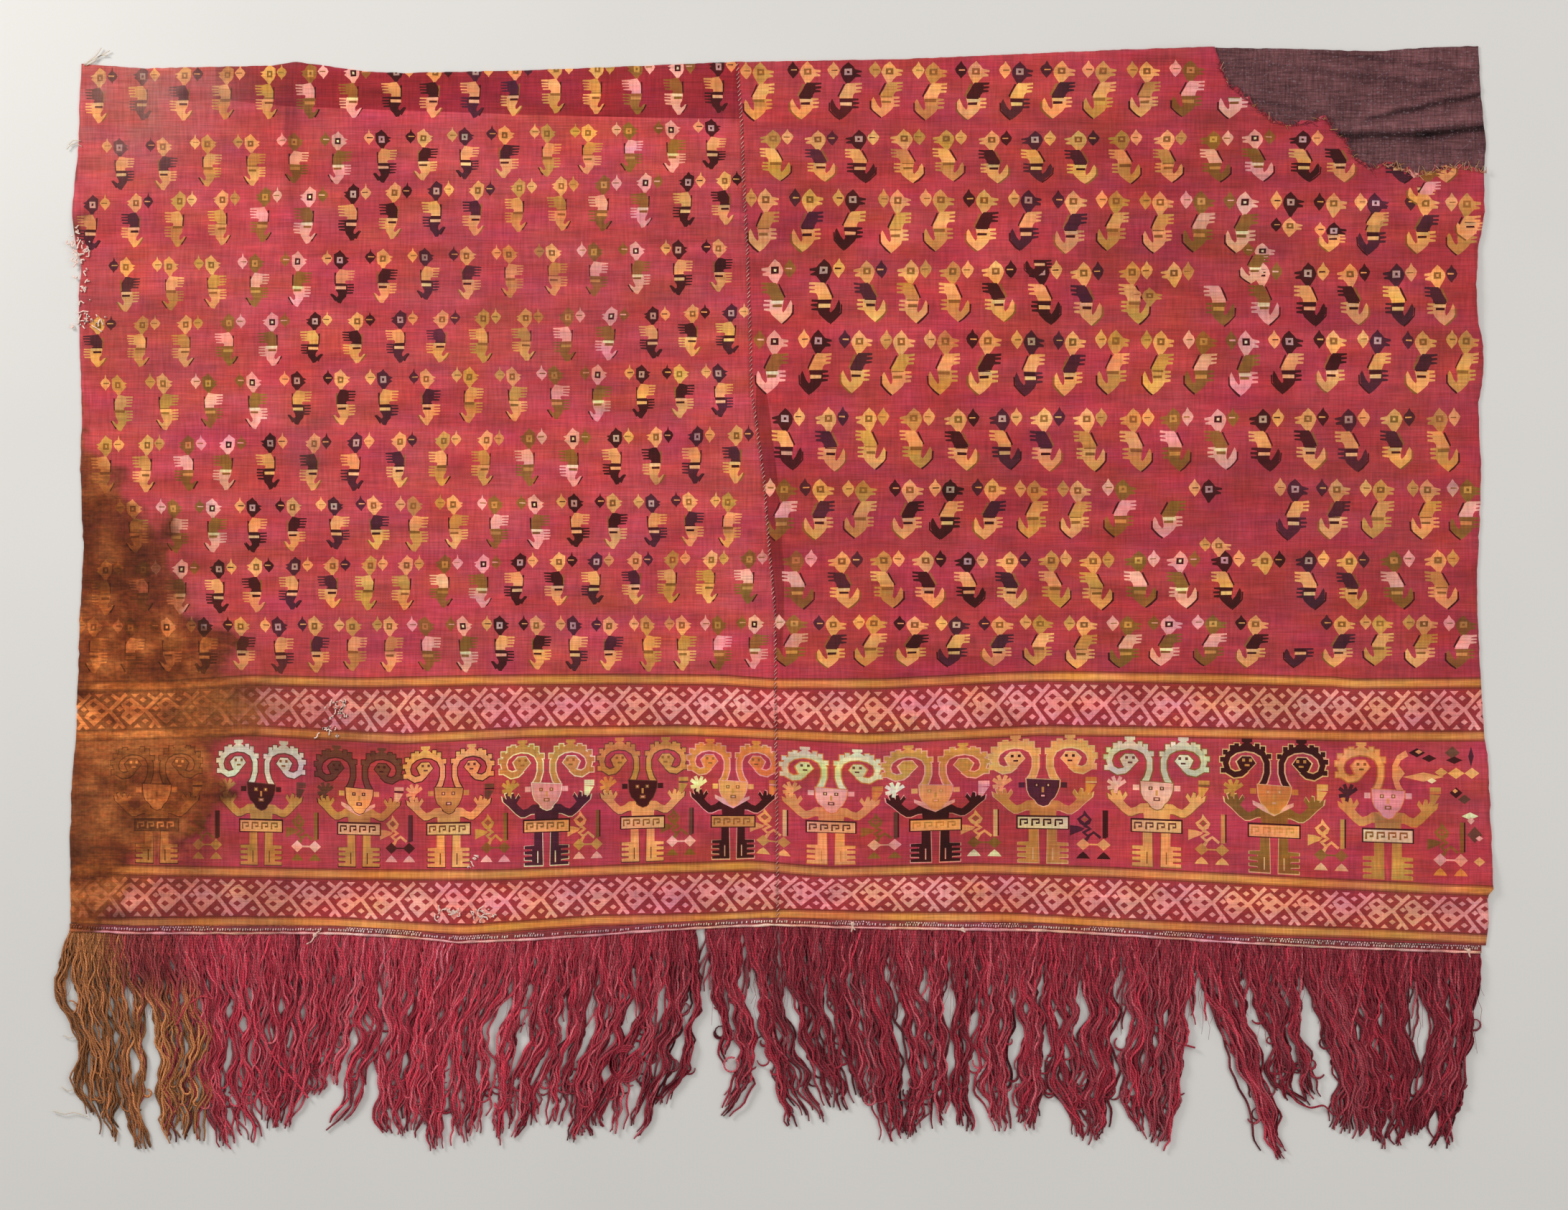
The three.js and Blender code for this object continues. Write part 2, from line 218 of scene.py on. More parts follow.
def fold_height(folds: Array, x: Array, y: Array) -> Array:
    """Height of the soft ridges: a squared cosine across each, fading at its ends the same way.

    Args:
        folds: rows of the table of ridges.
        x: places along x.
        y: places along y.

    Returns:
        The height at each place.
    """
    height = np.zeros_like(x, dtype=float)
    for at_x, at_y, turn, long, wide, rise in folds:
        angle = np.radians(turn)
        along = (x - at_x) * np.cos(angle) + (y - at_y) * np.sin(angle)
        across = (y - at_y) * np.cos(angle) - (x - at_x) * np.sin(angle)
        end_share = np.minimum(1, np.abs(along) / (long / 2))
        side_share = np.minimum(1, np.abs(across) / (wide / 2))
        height += rise * np.cos(np.pi / 2 * end_share) ** 2 * np.cos(np.pi / 2 * side_share) ** 2
    return height


def lap_lift(x: Array, y: Array) -> Array:
    """Lift of the right web where it laps over the patch, settling to the surface beyond it."""
    past = np.hypot(np.maximum(0, PATCH_LEFT - x), np.maximum(0, PATCH_BOTTOM - y))
    return (PATCH_THICK + SEWN_GAP) * (1 - smoothstep(past, LIFT_FULL, LIFT_FULL + LIFT_FADE))


class Yarn(Enum):
    """Dyed weft yarns of the webs, as sRGB hex; GROUND_TUCK is the darker ground over the tuck beside the
    seam.
    """

    GROUND_LEFT = "#BC4549"
    GROUND_RIGHT = "#B13B41"
    GROUND_DEEP = "#95272F"
    GROUND_TUCK = "#8D292B"
    GROUND_LATTICE = "#A03636"
    GROUND_FIGURES = "#B63D46"
    LATTICE_PINK = "#F0988B"
    STRIPE_GOLD = "#DA8A48"
    STRIPE_MID = "#B4643A"
    STRIPE_OLIVE = "#883A27"
    GOLD = "#E99D5E"
    TAN = "#C98845"
    OLIVE = "#8E5A28"
    PINK = "#EDA08F"
    CREAM = "#EBD3A2"
    BAR = "#E3AC77"
    EYE_GREY = "#B98F86"
    BROWN_BLACK = "#40100E"
    PURPLE = "#4E1E28"
    GREY_BROWN = "#6A3A2C"
    ORANGE = "#D9803F"
    PALE_GREEN = "#D9CBA3"
    WHITE = "#E6DBBD"

    @property
    def rgb(self) -> Array:
        """Linear colour of the yarn."""
        return linear(self.value)


class Patch(NamedTuple):
    """One flat shape of the tapestry: its yarn and its outline in millimetres."""

    yarn: Yarn
    points: Array


def bar(start: tuple[float, float], end: tuple[float, float], width: float) -> Array:
    """Straight band between two points: each end is moved half the width to both sides.

    Args:
        start: middle of one end.
        end: middle of the other.
        width: its width.

    Returns:
        Its corners.
    """
    a, b = np.array(start), np.array(end)
    side = np.array([a[1] - b[1], b[0] - a[0]]) / np.hypot(*(b - a)) * width / 2
    return np.array([a - side, b - side, b + side, a + side])


def rhomb(x: float, y: float, half_wide: float, half_tall: float) -> Array:
    """Diamond about a centre."""
    return np.array([[x - half_wide, y], [x, y - half_tall], [x + half_wide, y], [x, y + half_tall]])


def block(x0: float, y0: float, x1: float, y1: float) -> Array:
    """Upright rectangle between two corners."""
    return np.array([[x0, y0], [x1, y0], [x1, y1], [x0, y1]])


def ribbon(points: Array, width: float) -> Array:
    """Band along a bent line: the line moved half the width along its normals, there and back.

    Args:
        points: the line.
        width: its width.

    Returns:
        Its outline.
    """
    run = np.gradient(points, axis=0)
    normal = np.stack([-run[:, 1], run[:, 0]], axis=1) / np.hypot(run[:, 0], run[:, 1])[:, None]
    return np.concatenate([points - normal * width / 2, (points + normal * width / 2)[::-1]])


def counter_clockwise(points: Array) -> Array:
    """The points in counter-clockwise order, told by the signed area of the shoelace sum.

    Args:
        points: a closed outline.

    Returns:
        The outline in that order.
    """
    x, y = points.T
    area = np.dot(x, np.roll(y, -1)) - np.dot(y, np.roll(x, -1))
    return points if area > 0 else points[::-1]


@dataclass(frozen=True)
class BirdColours:
    """Yarns of one colouring of the bird."""

    head: Yarn
    torso: Yarn
    eye_ring: Yarn
    eye: Yarn
    split: Yarn


BIRDS = {letter: BirdColours(*(Yarn[name] for name in names)) for letter, *names in words("""
G BROWN_BLACK GOLD EYE_GREY BROWN_BLACK BROWN_BLACK
H GOLD BROWN_BLACK OLIVE GOLD GOLD
A PURPLE GOLD EYE_GREY PURPLE OLIVE
B GOLD PURPLE OLIVE GOLD GOLD
C TAN GOLD OLIVE TAN OLIVE
D GOLD TAN OLIVE GOLD OLIVE
E OLIVE PINK TAN OLIVE OLIVE
F PINK OLIVE BROWN_BLACK CREAM PINK""")}
# Colourings whose lower part is dark: the pale bar then lies lower, under one dark belt
DARK_BELOW = "GACE"
CLOTH_BARS = {"E": Yarn.TAN, "F": Yarn.CREAM, "C": Yarn.TAN, "D": Yarn.GOLD}


@dataclass(frozen=True)
class BirdChart:
    """The small bird of the upper field, about 27 mm wide and 60 mm tall, from its head's centre.

    It is charted with its fingers to the right; a row that faces the other way mirrors it. The
    companion is the small diamond beside the head, and the hook and back are thin dark outlines.
    """

    head: Array = charted(
        "0,11.3 2.4,8.4 4.9,6.4 6.9,3.4 11.3,2 7.9,0.3 10.3,-1.6 6.9,-4.4 3.9,-7.4 2,-10.3 "
        "-1,-10.3 -3,-7.4 -5.4,-5.4 -6.9,-1.5 -6.9,6.5 -2.5,8.8")
    torso: Array = charted(
        "0,-10.3 4.4,-10.8 8.4,-11.6 17.2,-11.9 17.2,-13.4 9.4,-13.8 9.4,-14.8 17.2,-15 17.2,-16.4 "
        "9.4,-16.8 9.4,-17.8 16.6,-18 16.6,-19.4 9.2,-19.8 9,-20.8 15.8,-21.2 15.8,-22.6 7.6,-22.9 "
        "6.2,-24 7.2,-27 -4,-27 -4.4,-18 -3,-15 -1,-12")
    lower: Array = charted(
        "-4.4,-27 8,-26.8 16.6,-26.9 16.6,-28.4 9.2,-28.8 9.2,-29.8 16.8,-30 16.8,-31.4 9.4,-31.8 "
        "9.4,-32.8 16.8,-33.1 16.8,-34.5 9.2,-34.9 9.2,-35.8 15.8,-36.2 15.8,-37.6 8.5,-38.2 8,-41 "
        "5,-44.5 2.5,-48.6 -1,-48 -3,-45.5 -6,-42 -8.5,-37.5 -6.5,-37.8 -4.2,-40 -2.5,-41.5 -0.8,-40 "
        "-1.5,-37 -3.5,-34 -3.9,-31")
    companion: Array = charted(
        "-14.4,11.6 -13.2,7.2 -10.4,5.2 -8.4,2.2 -10.2,-1.4 -13.2,-4.2 -14.4,-6.2 -15.6,-4.2 "
        "-18.8,-1.4 -20.6,2.2 -18.6,5.2 -15.6,7.2")
    hook: Array = charted("-3.6,-46.2 -6.4,-42 -9.2,-38")
    belt_box: tuple[float, float] = (-4.8, 8.2)
    eye_half: tuple[float, float] = (3.3, 3.5)
    back: Array = charted("-4.9,-14 -4.5,-26.6")
    line: float = 1.8
    stretch_play: float = 0.035
    lean_play: float = 0.05
    place_play: float = 0.8
    yarn_play: float = 0.3

    def patches(self, letter: str, place: tuple[float, float], facing: int,
                scale: tuple[float, float], parts: str, rng: Random) -> list[Patch]:
        """Patches of one bird, each a little different as a weaver's counting makes them.

        Args:
            letter: the colouring.
            place: centre of the head.
            facing: 1 with the fingers to the right, -1 to the left.
            scale: stretch along x and y.
            parts: "" for all of it, "h" the head, "t" head and torso, "b" no head, "l" the lower part.
            rng: the seeded source of the small differences.

        Returns:
            The patches from the lowest to the topmost.
        """
        colours = BIRDS[letter]
        dark_edge = Yarn.BROWN_BLACK if letter in "CDEFGA" else Yarn.OLIVE
        belt = Yarn.BROWN_BLACK if letter in "GHAB" else Yarn.OLIVE
        cloth_bar = CLOTH_BARS.get(letter, Yarn.BAR)
        shapes: list[tuple[Yarn, Array]] = []
        if parts in ("", "h", "t"):
            wide, tall = self.eye_half
            x, y = self.companion.mean(axis=0)
            shapes += [(colours.head, self.head), (colours.eye_ring, block(-wide, -tall, wide, tall)),
                       (colours.eye, block(-wide * 0.36, -tall * 0.4, wide * 0.36, tall * 0.4)),
                       (colours.torso, self.companion),
                       (colours.split, block(x - 2.4, y - 0.5, x + 4.4, y + 0.6))]
        if parts in ("", "t", "b"):
            shapes += [(dark_edge, ribbon(self.back, self.line)), (colours.torso, self.torso)]
        if parts in ("", "l", "b"):
            left, right = self.belt_box
            shapes += [(dark_edge, ribbon(self.hook, self.line)), (colours.head, self.lower)]
            if letter in DARK_BELOW:
                shapes += [(belt, block(left, -29.2, right - 1, -26.2)),
                           (cloth_bar, block(left + 0.8, -32.8, right - 0.6, -29.6))]
            else:
                shapes += [(belt, block(left, -26.6, right - 1, -25.4)),
                           (cloth_bar, block(left + 0.4, -29.4, right, -26.6)),
                           (belt, block(left + 1.4, -32.2, right - 2.4, -29.8))]
        stretch = np.array(scale) * (1 + rng.uniform(-self.stretch_play, self.stretch_play, 2))
        lean = rng.uniform(-self.lean_play, self.lean_play)
        shift = np.array(place) + rng.uniform(-self.place_play, self.place_play, 2)
        made = []
        for yarn, points in shapes:
            bent = points + rng.uniform(-self.yarn_play, self.yarn_play, points.shape)
            x = (bent[:, 0] * facing + bent[:, 1] * lean) * stretch[0]
            made.append(Patch(yarn, np.stack([x, bent[:, 1] * stretch[1]], axis=1) + shift))
        return made


# The right web's bird leans away from its fingers and ends in a hook like the letter U.
LEANING_BIRD = BirdChart(
    head=chart("0,10 2.5,7.5 5,5.5 7.5,2.6 15,1.3 15,-0.5 8.6,-1.2 14,-2.9 14,-4.6 8,-5 5,-8 2.5,-10.6 "
               "0.6,-13 -1.6,-13 -3,-10.8 -5.6,-7.4 -8,-4 -9.3,-0.4 -8,3 -5.5,6 -2.5,8"),
    torso=chart("-1,-10.8 8,-10.8 15.2,-10.6 15.2,-12.5 8.8,-13.2 8.8,-14.2 15.2,-14.4 15.2,-16.1 8.8,-16.7 "
                "8.6,-17.7 14.6,-18 14.6,-19.7 7.6,-20.3 5.6,-22.8 4.9,-26 -10,-26 -9.6,-22.6 -6,-17.6 "
                "-3.6,-13.4"),
    lower=chart("-9.8,-25.6 4.7,-25.6 12,-25.8 12,-27.5 5.6,-28.1 5.6,-29.2 12.6,-29.6 12.6,-31.3 5.8,-31.9 "
                "5.8,-33 12,-33.4 12,-35.1 5,-35.7 3.4,-38.6 -3,-43.6 -7.6,-46.4 -12,-43.5 -17.8,-39 "
                "-19.6,-36 -19.6,-29 -17.8,-26 -15.8,-29 -13.2,-33.6 -9.6,-37.2 -8.2,-35.6 -8.4,-31"),
    companion=chart("-16.6,10.4 -14,6.6 -11,4.2 -9.8,1.5 -11.4,-2 -14.4,-4.9 -16.6,-6.8 -18.7,-4.6 "
                    "-22,-1.2 -23.4,2.2 -21.4,5 -18.8,7"),
    hook=chart("-8.6,-46.6 -14,-43.2 -20.6,-37.4 -20.8,-30"), back=chart("-4.4,-12 -7.6,-17.4 -11.2,-24"),
    belt_box=(-9.4, 4.6), eye_half=(4.2, 3.1))


# Rows of birds in the left web: two birds of colouring G, eight apart, the first and the last
# bird, the row's height at the left and at the right, and how far its birds sit above that and
# how tall they are for the chart. The order of colourings repeats after eight birds.
LEFT_ORDER = "GHABCDEF"
LEFT_WIDE = 0.93
LEFT_SPAN = (-730, 690)     # where the left height counts, and how far the right one is from there
LEFT_ROWS = table("""
-405  -59 -721  -59 564 576  0 1
-420  -66 -701  -66 488 510  0 0.93
-451  -92 -730  -52 430 456 -2 1
-464 -102 -694  -59 357 380  2 0.97
-491 -129 -723  -45 296 309  2 0.95
-510 -142 -702  -59 234 248  0 1
-539 -168 -715  -39 169 181 -1 1.03
-558 -213 -687  -49 101 109  0 0.98
-594 -271 -716  -25  35  48  0 0.96
-611 -293 -728  -20 -28 -25  2 1""")

# Rows of birds in the right web: height at the row's left and right end, how far its birds sit
# above that, how tall they are for the chart, then colouring and place of each. A small letter
# tells a bird that the damage has left incomplete.
RIGHT_WIDE = 0.96
RIGHT_SPAN = 760
RIGHT_ROWS = words("""
574 576 -4 1.08 C-13 H37 G80 D125 C171 H217 A264 B309 C353 D401 E447 F497l
500 500 -2 1.0 C-1 B48 G92 D140 C186 H235 A281 B327 C374 D421 E471 F517 G568 H606b A669b B712b
433 427 1 1.18 D-8 B39 G86 D133 C180 H227 A274 B321 C368 D415 E459 F505 G554h H600h A645 B699 C744
356 350 2 1.2 F2 G54 B101 D147 C192 H238 G288 B333 C384 D429h E476b F524 G573 H618 A668 B712
279 279 2 1.22 F1 G48 B92 D137 C185 H229 A276 B321 C367 D416 E462 F507 G554 H600 A648 B697 C742
195 195 3 1.19 G13 B59 D102 C150 H199 A245 B291 D336 C386 E429 F476 G525 H573 A617 B665 C714
118 118 4 1.14 E12 B51 C97 H146 G189 B235 C280 D327 E374 F427b G467h A559 B604 C652 D701 E744
41 41 5 1.1 E25 B73 C118 H164 G209 B253 C298 D343 E391 F436 G484 H527h A574 B618 E665 D712
-27 -27 5 0.98 E22 B65 C108 H152 A197 B242 C286 D334 E380 F424 E472 H517 A568l B609 C651 D698 E740""")

# Pieces of birds in the cobbled corner of the right web: colouring, part, and its head's place
CORNER_SCALE = (0.9, 0.9)
CORNER_BIRDS = words("""
H h 553 405
G h 600 400
H l 602 418
A t 645 430
H l 700 470
E t 702 462
B l 748 432
F h 524 378
F b 517 384
G l 288 392
D h 477 62
C h 404 330""")


@dataclass(frozen=True)
class Span:
    """Room between two stripes. A chart is laid in it by its x and its share of the height."""

    lower: Edge
    upper: Edge
    nominal: float
    margin: float

    def place(self, points: Array, x: float, scale: float) -> Array:
        """The points at x: across by scale, up by their share of the room's own height there.

        Args:
            points: charted points.
            x: where the chart's middle goes.
            scale: stretch across.

        Returns:
            The points in the part's frame.
        """
        across = x + points[:, 0] * scale
        low = self.lower.at(across) + self.margin
        high = self.upper.at(across) - self.margin
        return np.stack([across, low + (high - low) * points[:, 1] / self.nominal], axis=1)


@dataclass(frozen=True)
class LatticeBand:
    """Interlocking lattice of pink diamonds and bars on dark red, repeated along a span.

    Heights run from 0 to 40; the charted shapes are given from the middle of the band.
    """

    span: Span
    period: float = 38.6

    def shapes(self) -> list[tuple[Yarn, Array]]:
        """One repeat: bars first, then the big diamond with its dark lozenges.

        Returns:
            Yarn and outline of each shape.
        """
        pink, dark = Yarn.LATTICE_PINK, Yarn.GROUND_LATTICE
        return [
            (pink, bar((-1, -1), (18.0, 17.6), 3.9)), (pink, bar((10.3, 11.0), (2.3, 17.0), 3.6)),
            (pink, bar((-1, 1), (15.6, -19.6), 3.9)), (pink, bar((10.3, -12.4), (4.6, -19.4), 3.6)),
            (pink, chart("-15.4,13.4 -20,11.6 -26.4,6.6 -22.6,-0.4 -27,-6.4 -16.6,-16 1.5,0")),
            (dark, rhomb(-17.4, 6.4, 4.3, 3.0)), (dark, rhomb(-8.6, -0.2, 4.3, 3.0)),
            (dark, rhomb(-17.8, -6.6, 4.3, 3.0)), (dark, rhomb(-23.6, -0.4, 2.0, 2.2)),
            (pink, rhomb(-2.8, 10.9, 3.8, 2.7)), (pink, rhomb(-0.5, -12.0, 3.8, 2.7)),
            (pink, rhomb(10.9, 1.6, 3.8, 2.7)),
            (pink, chart("-16,17.6 -6.8,17.6 -11.4,13.4")),
            (pink, chart("-13.2,-18.8 -4.6,-18.8 -8.8,-14.6")),
        ]

    def patches(self, start: float, end: float) -> list[Patch]:
        """The repeats from start to end along x.

        Args:
            start: left end.
            end: right end.

        Returns:
            The patches.
        """
        shapes = self.shapes()
        count = int((end - start) / self.period) + 2
        middle = np.array([0, 20])
        return [Patch(yarn, self.span.place(points + middle, start + k * self.period, 1))
                for k in range(count) for yarn, points in shapes]


@dataclass(frozen=True)
class FigureColours:
    """Yarns of one standing figure."""

    plumes: Yarn
    face: Yarn
    body: Yarn
    outline: Yarn
    belt: Yarn
    marks: Yarn
    plant: Yarn
    pouch: Yarn


@dataclass(frozen=True)
class FigureChart:
    """Standing figure with two coiled plumes, 130 mm tall, from the middle between its feet.

    The right half is charted; the left half mirrors it.
    """

    coil: Array = charted(
        "14,83 10,89 7.4,97 7.4,107 11.6,115 20,119.4 30,120.6 40,118.4 47.4,113 50,105.4 47.6,98 41,94.4 "
        "34,95.6 28.6,100")
    steps: Array = charted(
        "5.4,113 11.6,120 17.4,122.6 38.6,122.4 43.4,120.6 50.4,116 53.4,109 52.6,98.4")
    curl: Array = charted("19,106 24,112.4 33,112.4 38.6,107.2 35,100 26.6,98.4")
    head: Array = charted(
        "-17,85.6 17.4,84 17,78 15.4,73 12.4,67 8.4,63.4 5.4,59 0.4,57.6 -5,59.6 -9,64.6 -13.4,68 -16,74")
    collar: Array = charted(
        "-22.4,70.4 -12,66.4 0,60 11,66 20,69 20,65.6 10,60.6 0,55.6 -12,60.6 -22,66.4")
    arm: Array = charted(
        "8,64 17,63.4 22,60 27,58.6 31.5,62 35,65.6 30.5,71.4 32.5,75 36,70 38.2,76 41,75.2 41.2,70.6 "
        "45.6,76.6 48.4,75.2 46.5,70 51.6,73 50.5,67.6 44,62.4 36,55 30,51 25.5,51 18,54 8,54.6")
    torso: Array = charted("-15,64 -13,46 13.4,46 15,64 6,59 -5,59")
    leg: Array = charted(
        "5,37 14.5,37 14.5,21.8 25.6,21.4 25.6,18.4 17,18 17,16.4 25.6,16 25.6,13 17,12.6 17,10.8 25.6,10.4 "
        "25.6,7.4 17,7 17,5.2 25.6,4.8 25.6,1.6 4.2,1.4")
    key: Array = charted("-1.5,38 -1.5,44.4 5.6,44.4 5.6,40.8 2.2,40.8")
    edge_share: float = 1.07

    def plume(self, colours: FigureColours) -> list[tuple[Yarn, Array]]:
        """The right plume: a stepped band that rises, turns over outwards and coils to a small face.

        Args:
            colours: the figure's yarns.

        Returns:
            Yarn and outline of each shape.
        """
        middle = np.array([27, 106])
        made = [(colours.outline, ribbon(self.coil, 8.6))]
        for half, yarn in ((3.3, colours.outline), (2.4, colours.plumes)):
            made += [(yarn, block(x - half, y - half, x + half, y + half)) for x, y in self.steps]
        return made + [
            (colours.outline, (self.curl - middle) * 1.14 + middle), (colours.plumes, ribbon(self.coil, 6.0)),
            (colours.plumes, self.curl),
            (colours.plumes, chart("20,121 23,124.4 25.4,125.4 22.6,126.6 22.6,129.6 33.6,129.6 "
                                   "33.6,126.6 31,125.4 33.6,124 36,121")),
            (colours.marks, block(22.8, 107.4, 25.8, 110.2)), (colours.marks, block(30, 107.4, 33, 110.2)),
            (colours.marks, block(25.4, 103, 30.4, 104.8)),
        ]

    def shapes(self, colours: FigureColours, plumes: str) -> list[tuple[Yarn, Array]]:
        """All shapes of a figure in its colours, lowest first.

        Args:
            colours: the figure's yarns.
            plumes: "both", or "left" where the right one is only its stem.

        Returns:
            Yarn and outline of each shape.
        """
        flip, whole = np.array([-1, 1]), np.array([1, 1])
        edge = colours.outline
        right = self.plume(colours) if plumes == "both" else [(colours.plumes, ribbon(self.coil[:6], 6.0))]
        made = [(yarn, points * flip) for yarn, points in self.plume(colours)] + right
        for side in (whole, flip):
            made += [(edge, (limb - middle) * self.edge_share * side + np.array(middle) * side)
                     for limb, middle in ((self.arm, (30, 63)), (self.leg, (14, 18)))]
        for side in (whole, flip):
            made += [(colours.body, self.arm * side), (colours.body, self.leg * side),
                     (colours.face, block(18.4, 76.6, 25, 82) * side),
                     (edge, block(9.6, 4, 10.8, 16) * side)]
        made += [(colours.body, self.torso)]
        if colours.face in (Yarn.ORANGE, Yarn.GOLD):
            made += [(Yarn.PINK, self.collar)]
        made += [
            (edge, (self.head - (0, 72)) * 1.06 + (0, 72)), (colours.face, self.head),
            (colours.marks, block(-8.6, 77, -4.2, 80.6)), (colours.marks, block(3.4, 77, 7.8, 80.6)),
            (Yarn.BAR, block(-7.2, 78, -5.6, 79.8)), (Yarn.BAR, block(4.8, 78, 6.4, 79.8)),
            (Yarn.TAN, block(-1.2, 71.6, 1.2, 77)), (colours.marks, block(-3.4, 66.4, 3.6, 70)),
            (Yarn.PINK, block(-1.8, 67.4, 2, 69)),
            (Yarn.BROWN_BLACK, block(-27.4, 34.8, 27.4, 48.8)), (colours.belt, block(-25.8, 35.8, 25.8, 47)),
        ]
        made += [(colours.marks, ribbon(self.key + (x, 0), 2.2)) for x in (-21.5, -9.5, 2.5, 14.5)]
        made += [(colours.plant, bar((-42, 79.6), (-42 + 10.6 * np.cos(a), 81.6 + 8.6 * np.sin(a)), 3.8))
                 for a in np.radians((28, 66, 112, 152, 205, 262))]
        made += [(colours.pouch, chart("44,72.4 49,71.6 51.6,76 55,80.6 44,81.6")),
                 (colours.pouch, block(44, 83.8, 55.6, 87.8)), (edge, block(44, 81.8, 55.6, 83.6))]
        return made


# Standing figures: middle, stretch across and up, and yarns. The last one's right plume is worn
# away to its stem.
WORN_FIGURE = 659
FIGURES = [(*(float(number) for number in row[:3]), FigureColours(*(Yarn[name] for name in row[3:])))
           for row in words("""
-661 0.88 1 OLIVE BAR TAN BROWN_BLACK GREY_BROWN BAR OLIVE TAN
-549 0.86 1 WHITE BROWN_BLACK TAN GREY_BROWN GOLD OLIVE TAN GREY_BROWN
-444 0.86 0.99 GREY_BROWN GOLD TAN BROWN_BLACK BAR BROWN_BLACK GREY_BROWN BAR
-348 0.88 1 GOLD TAN GOLD BROWN_BLACK BAR GREY_BROWN GOLD GREY_BROWN
-243 0.92 1.01 TAN PINK PURPLE CREAM GOLD OLIVE TAN CREAM
-140 0.88 1.02 TAN BROWN_BLACK GOLD GREY_BROWN BAR OLIVE ORANGE TAN
-43 0.88 1.01 ORANGE GOLD BROWN_BLACK PINK TAN OLIVE CREAM ORANGE
62 1 0.98 PALE_GREEN PINK GOLD ORANGE BAR GREY_BROWN GOLD ORANGE
174 1.04 1 TAN GOLD BROWN_BLACK PINK GOLD TAN WHITE PINK
289 1.04 1.04 GOLD PURPLE TAN BAR CREAM BROWN_BLACK GOLD ORANGE
411 1.02 1.03 PALE_GREEN PINK GOLD OLIVE BAR GREY_BROWN PINK TAN
537 1.04 1.03 BROWN_BLACK ORANGE OLIVE BAR GOLD TAN TAN GOLD
659 1.02 1.02 GOLD PINK TAN ORANGE CREAM OLIVE PURPLE TAN""")]


@dataclass(frozen=True)
class StaffBirdChart:
    """Bird beside a staff, 45 mm wide and 57 mm tall, from the middle of its base."""

    narrow: float = 0.86        # its stretch across in the left web

    def shapes(self, main: Yarn, feet: Yarn, toes: Yarn, staff: Yarn) -> list[tuple[Yarn, Array]]:
        """The motif's shapes, lowest first.

        Args:
            main: yarn of the bird.
            feet: yarn of its feet.
            toes: yarn of its toes.
            staff: yarn of the staff.

        Returns:
            Yarn and outline of each shape.
        """
        return [
            (main, chart("-9.7,57 -11,52.4 -17.6,47.6 -14,42.4 -9.7,40 -3.6,42.4 -1.4,47.4 -6,52.2")),
            (Yarn.GROUND_FIGURES, rhomb(-9.2, 47.4, 4.4, 3.6)), (Yarn.OLIVE, block(-10.8, 45.8, -7.4, 49)),
            (main, chart("-25,41 -25,30 -19,32.8 -12,35.4 -9,38 -17,40.4")),
            (main, ribbon(chart("-9.7,41 -3.4,37.6 -10.4,33.6 -5,29.8 -8.4,25"), 4.2)),
            (feet, rhomb(-10.8, 21.4, 7.5, 6.2)), (feet, rhomb(11.2, 21.4, 7.5, 6.2)),
            (feet, block(-5, 20.6, 5, 22.2)),
            (toes, chart("-18.4,6.6 -3.4,6.6 -6.4,10.4 -10.8,14 -15.4,10.4")),
            (toes, chart("3.6,6.6 18.8,6.6 15.8,10.4 11.2,14 6.8,10.4")),
            (main, ribbon(chart("-5.9,29.4 0.5,34 8.1,28.3"), 2.9)),
            (staff, block(10, 28, 14.4, 57)), (Yarn.BROWN_BLACK, block(14.4, 29, 16, 57)),
        ]


# Birds with staffs: middle, then the yarns of the bird, its feet, its toes and the staff
STAFF_BIRDS = [(float(x), *(Yarn[name] for name in names)) for x, *names in words("""
-607 OLIVE TAN TAN BROWN_BLACK
-501 OLIVE PINK OLIVE OLIVE
-400 GOLD BROWN_BLACK PINK PURPLE
-298 TAN OLIVE PINK OLIVE
-199 GOLD TAN PINK OLIVE
-99 OLIVE PINK OLIVE GREY_BROWN
0 GOLD TAN GOLD BAR
119 OLIVE PINK OLIVE GREY_BROWN
226 GOLD OLIVE CREAM BAR
343 PURPLE GOLD BROWN_BLACK BROWN_BLACK
470 GOLD TAN GOLD TAN
598 GOLD OLIVE BAR TAN
726 OLIVE PINK ORANGE OLIVE""")]

# Small pieces at the right end of the figures' band: yarn, middle, and half width and height
END_PIECES = [(Yarn[name], *(float(size) for size in sizes)) for name, *sizes in words("""
BROWN_BLACK 690 -160 9 5
GOLD 692 -159 4 2.4
BROWN_BLACK 703 -166 8 4
GREY_BROWN 728 -160 8 7
BROWN_BLACK 730 -168 9 4
PURPLE 748 -164 3 11
GOLD 697 -186 22 5
GOLD 716 -181 7 5
CREAM 706 -190 5 3
GOLD 732 -182 9 6
GOLD 749 -182 8 6
GOLD 671 -182 6 8
BROWN_BLACK 732 -203 7 6
GREY_BROWN 741 -210 7 5
GOLD 731 -201 3 2.4
CREAM 747 -228 9 4
PINK 748 -233 4 4
GREY_BROWN 752 -248 8 9
PINK 757 -252 4 3
GOLD 757 -277 6 5""")]
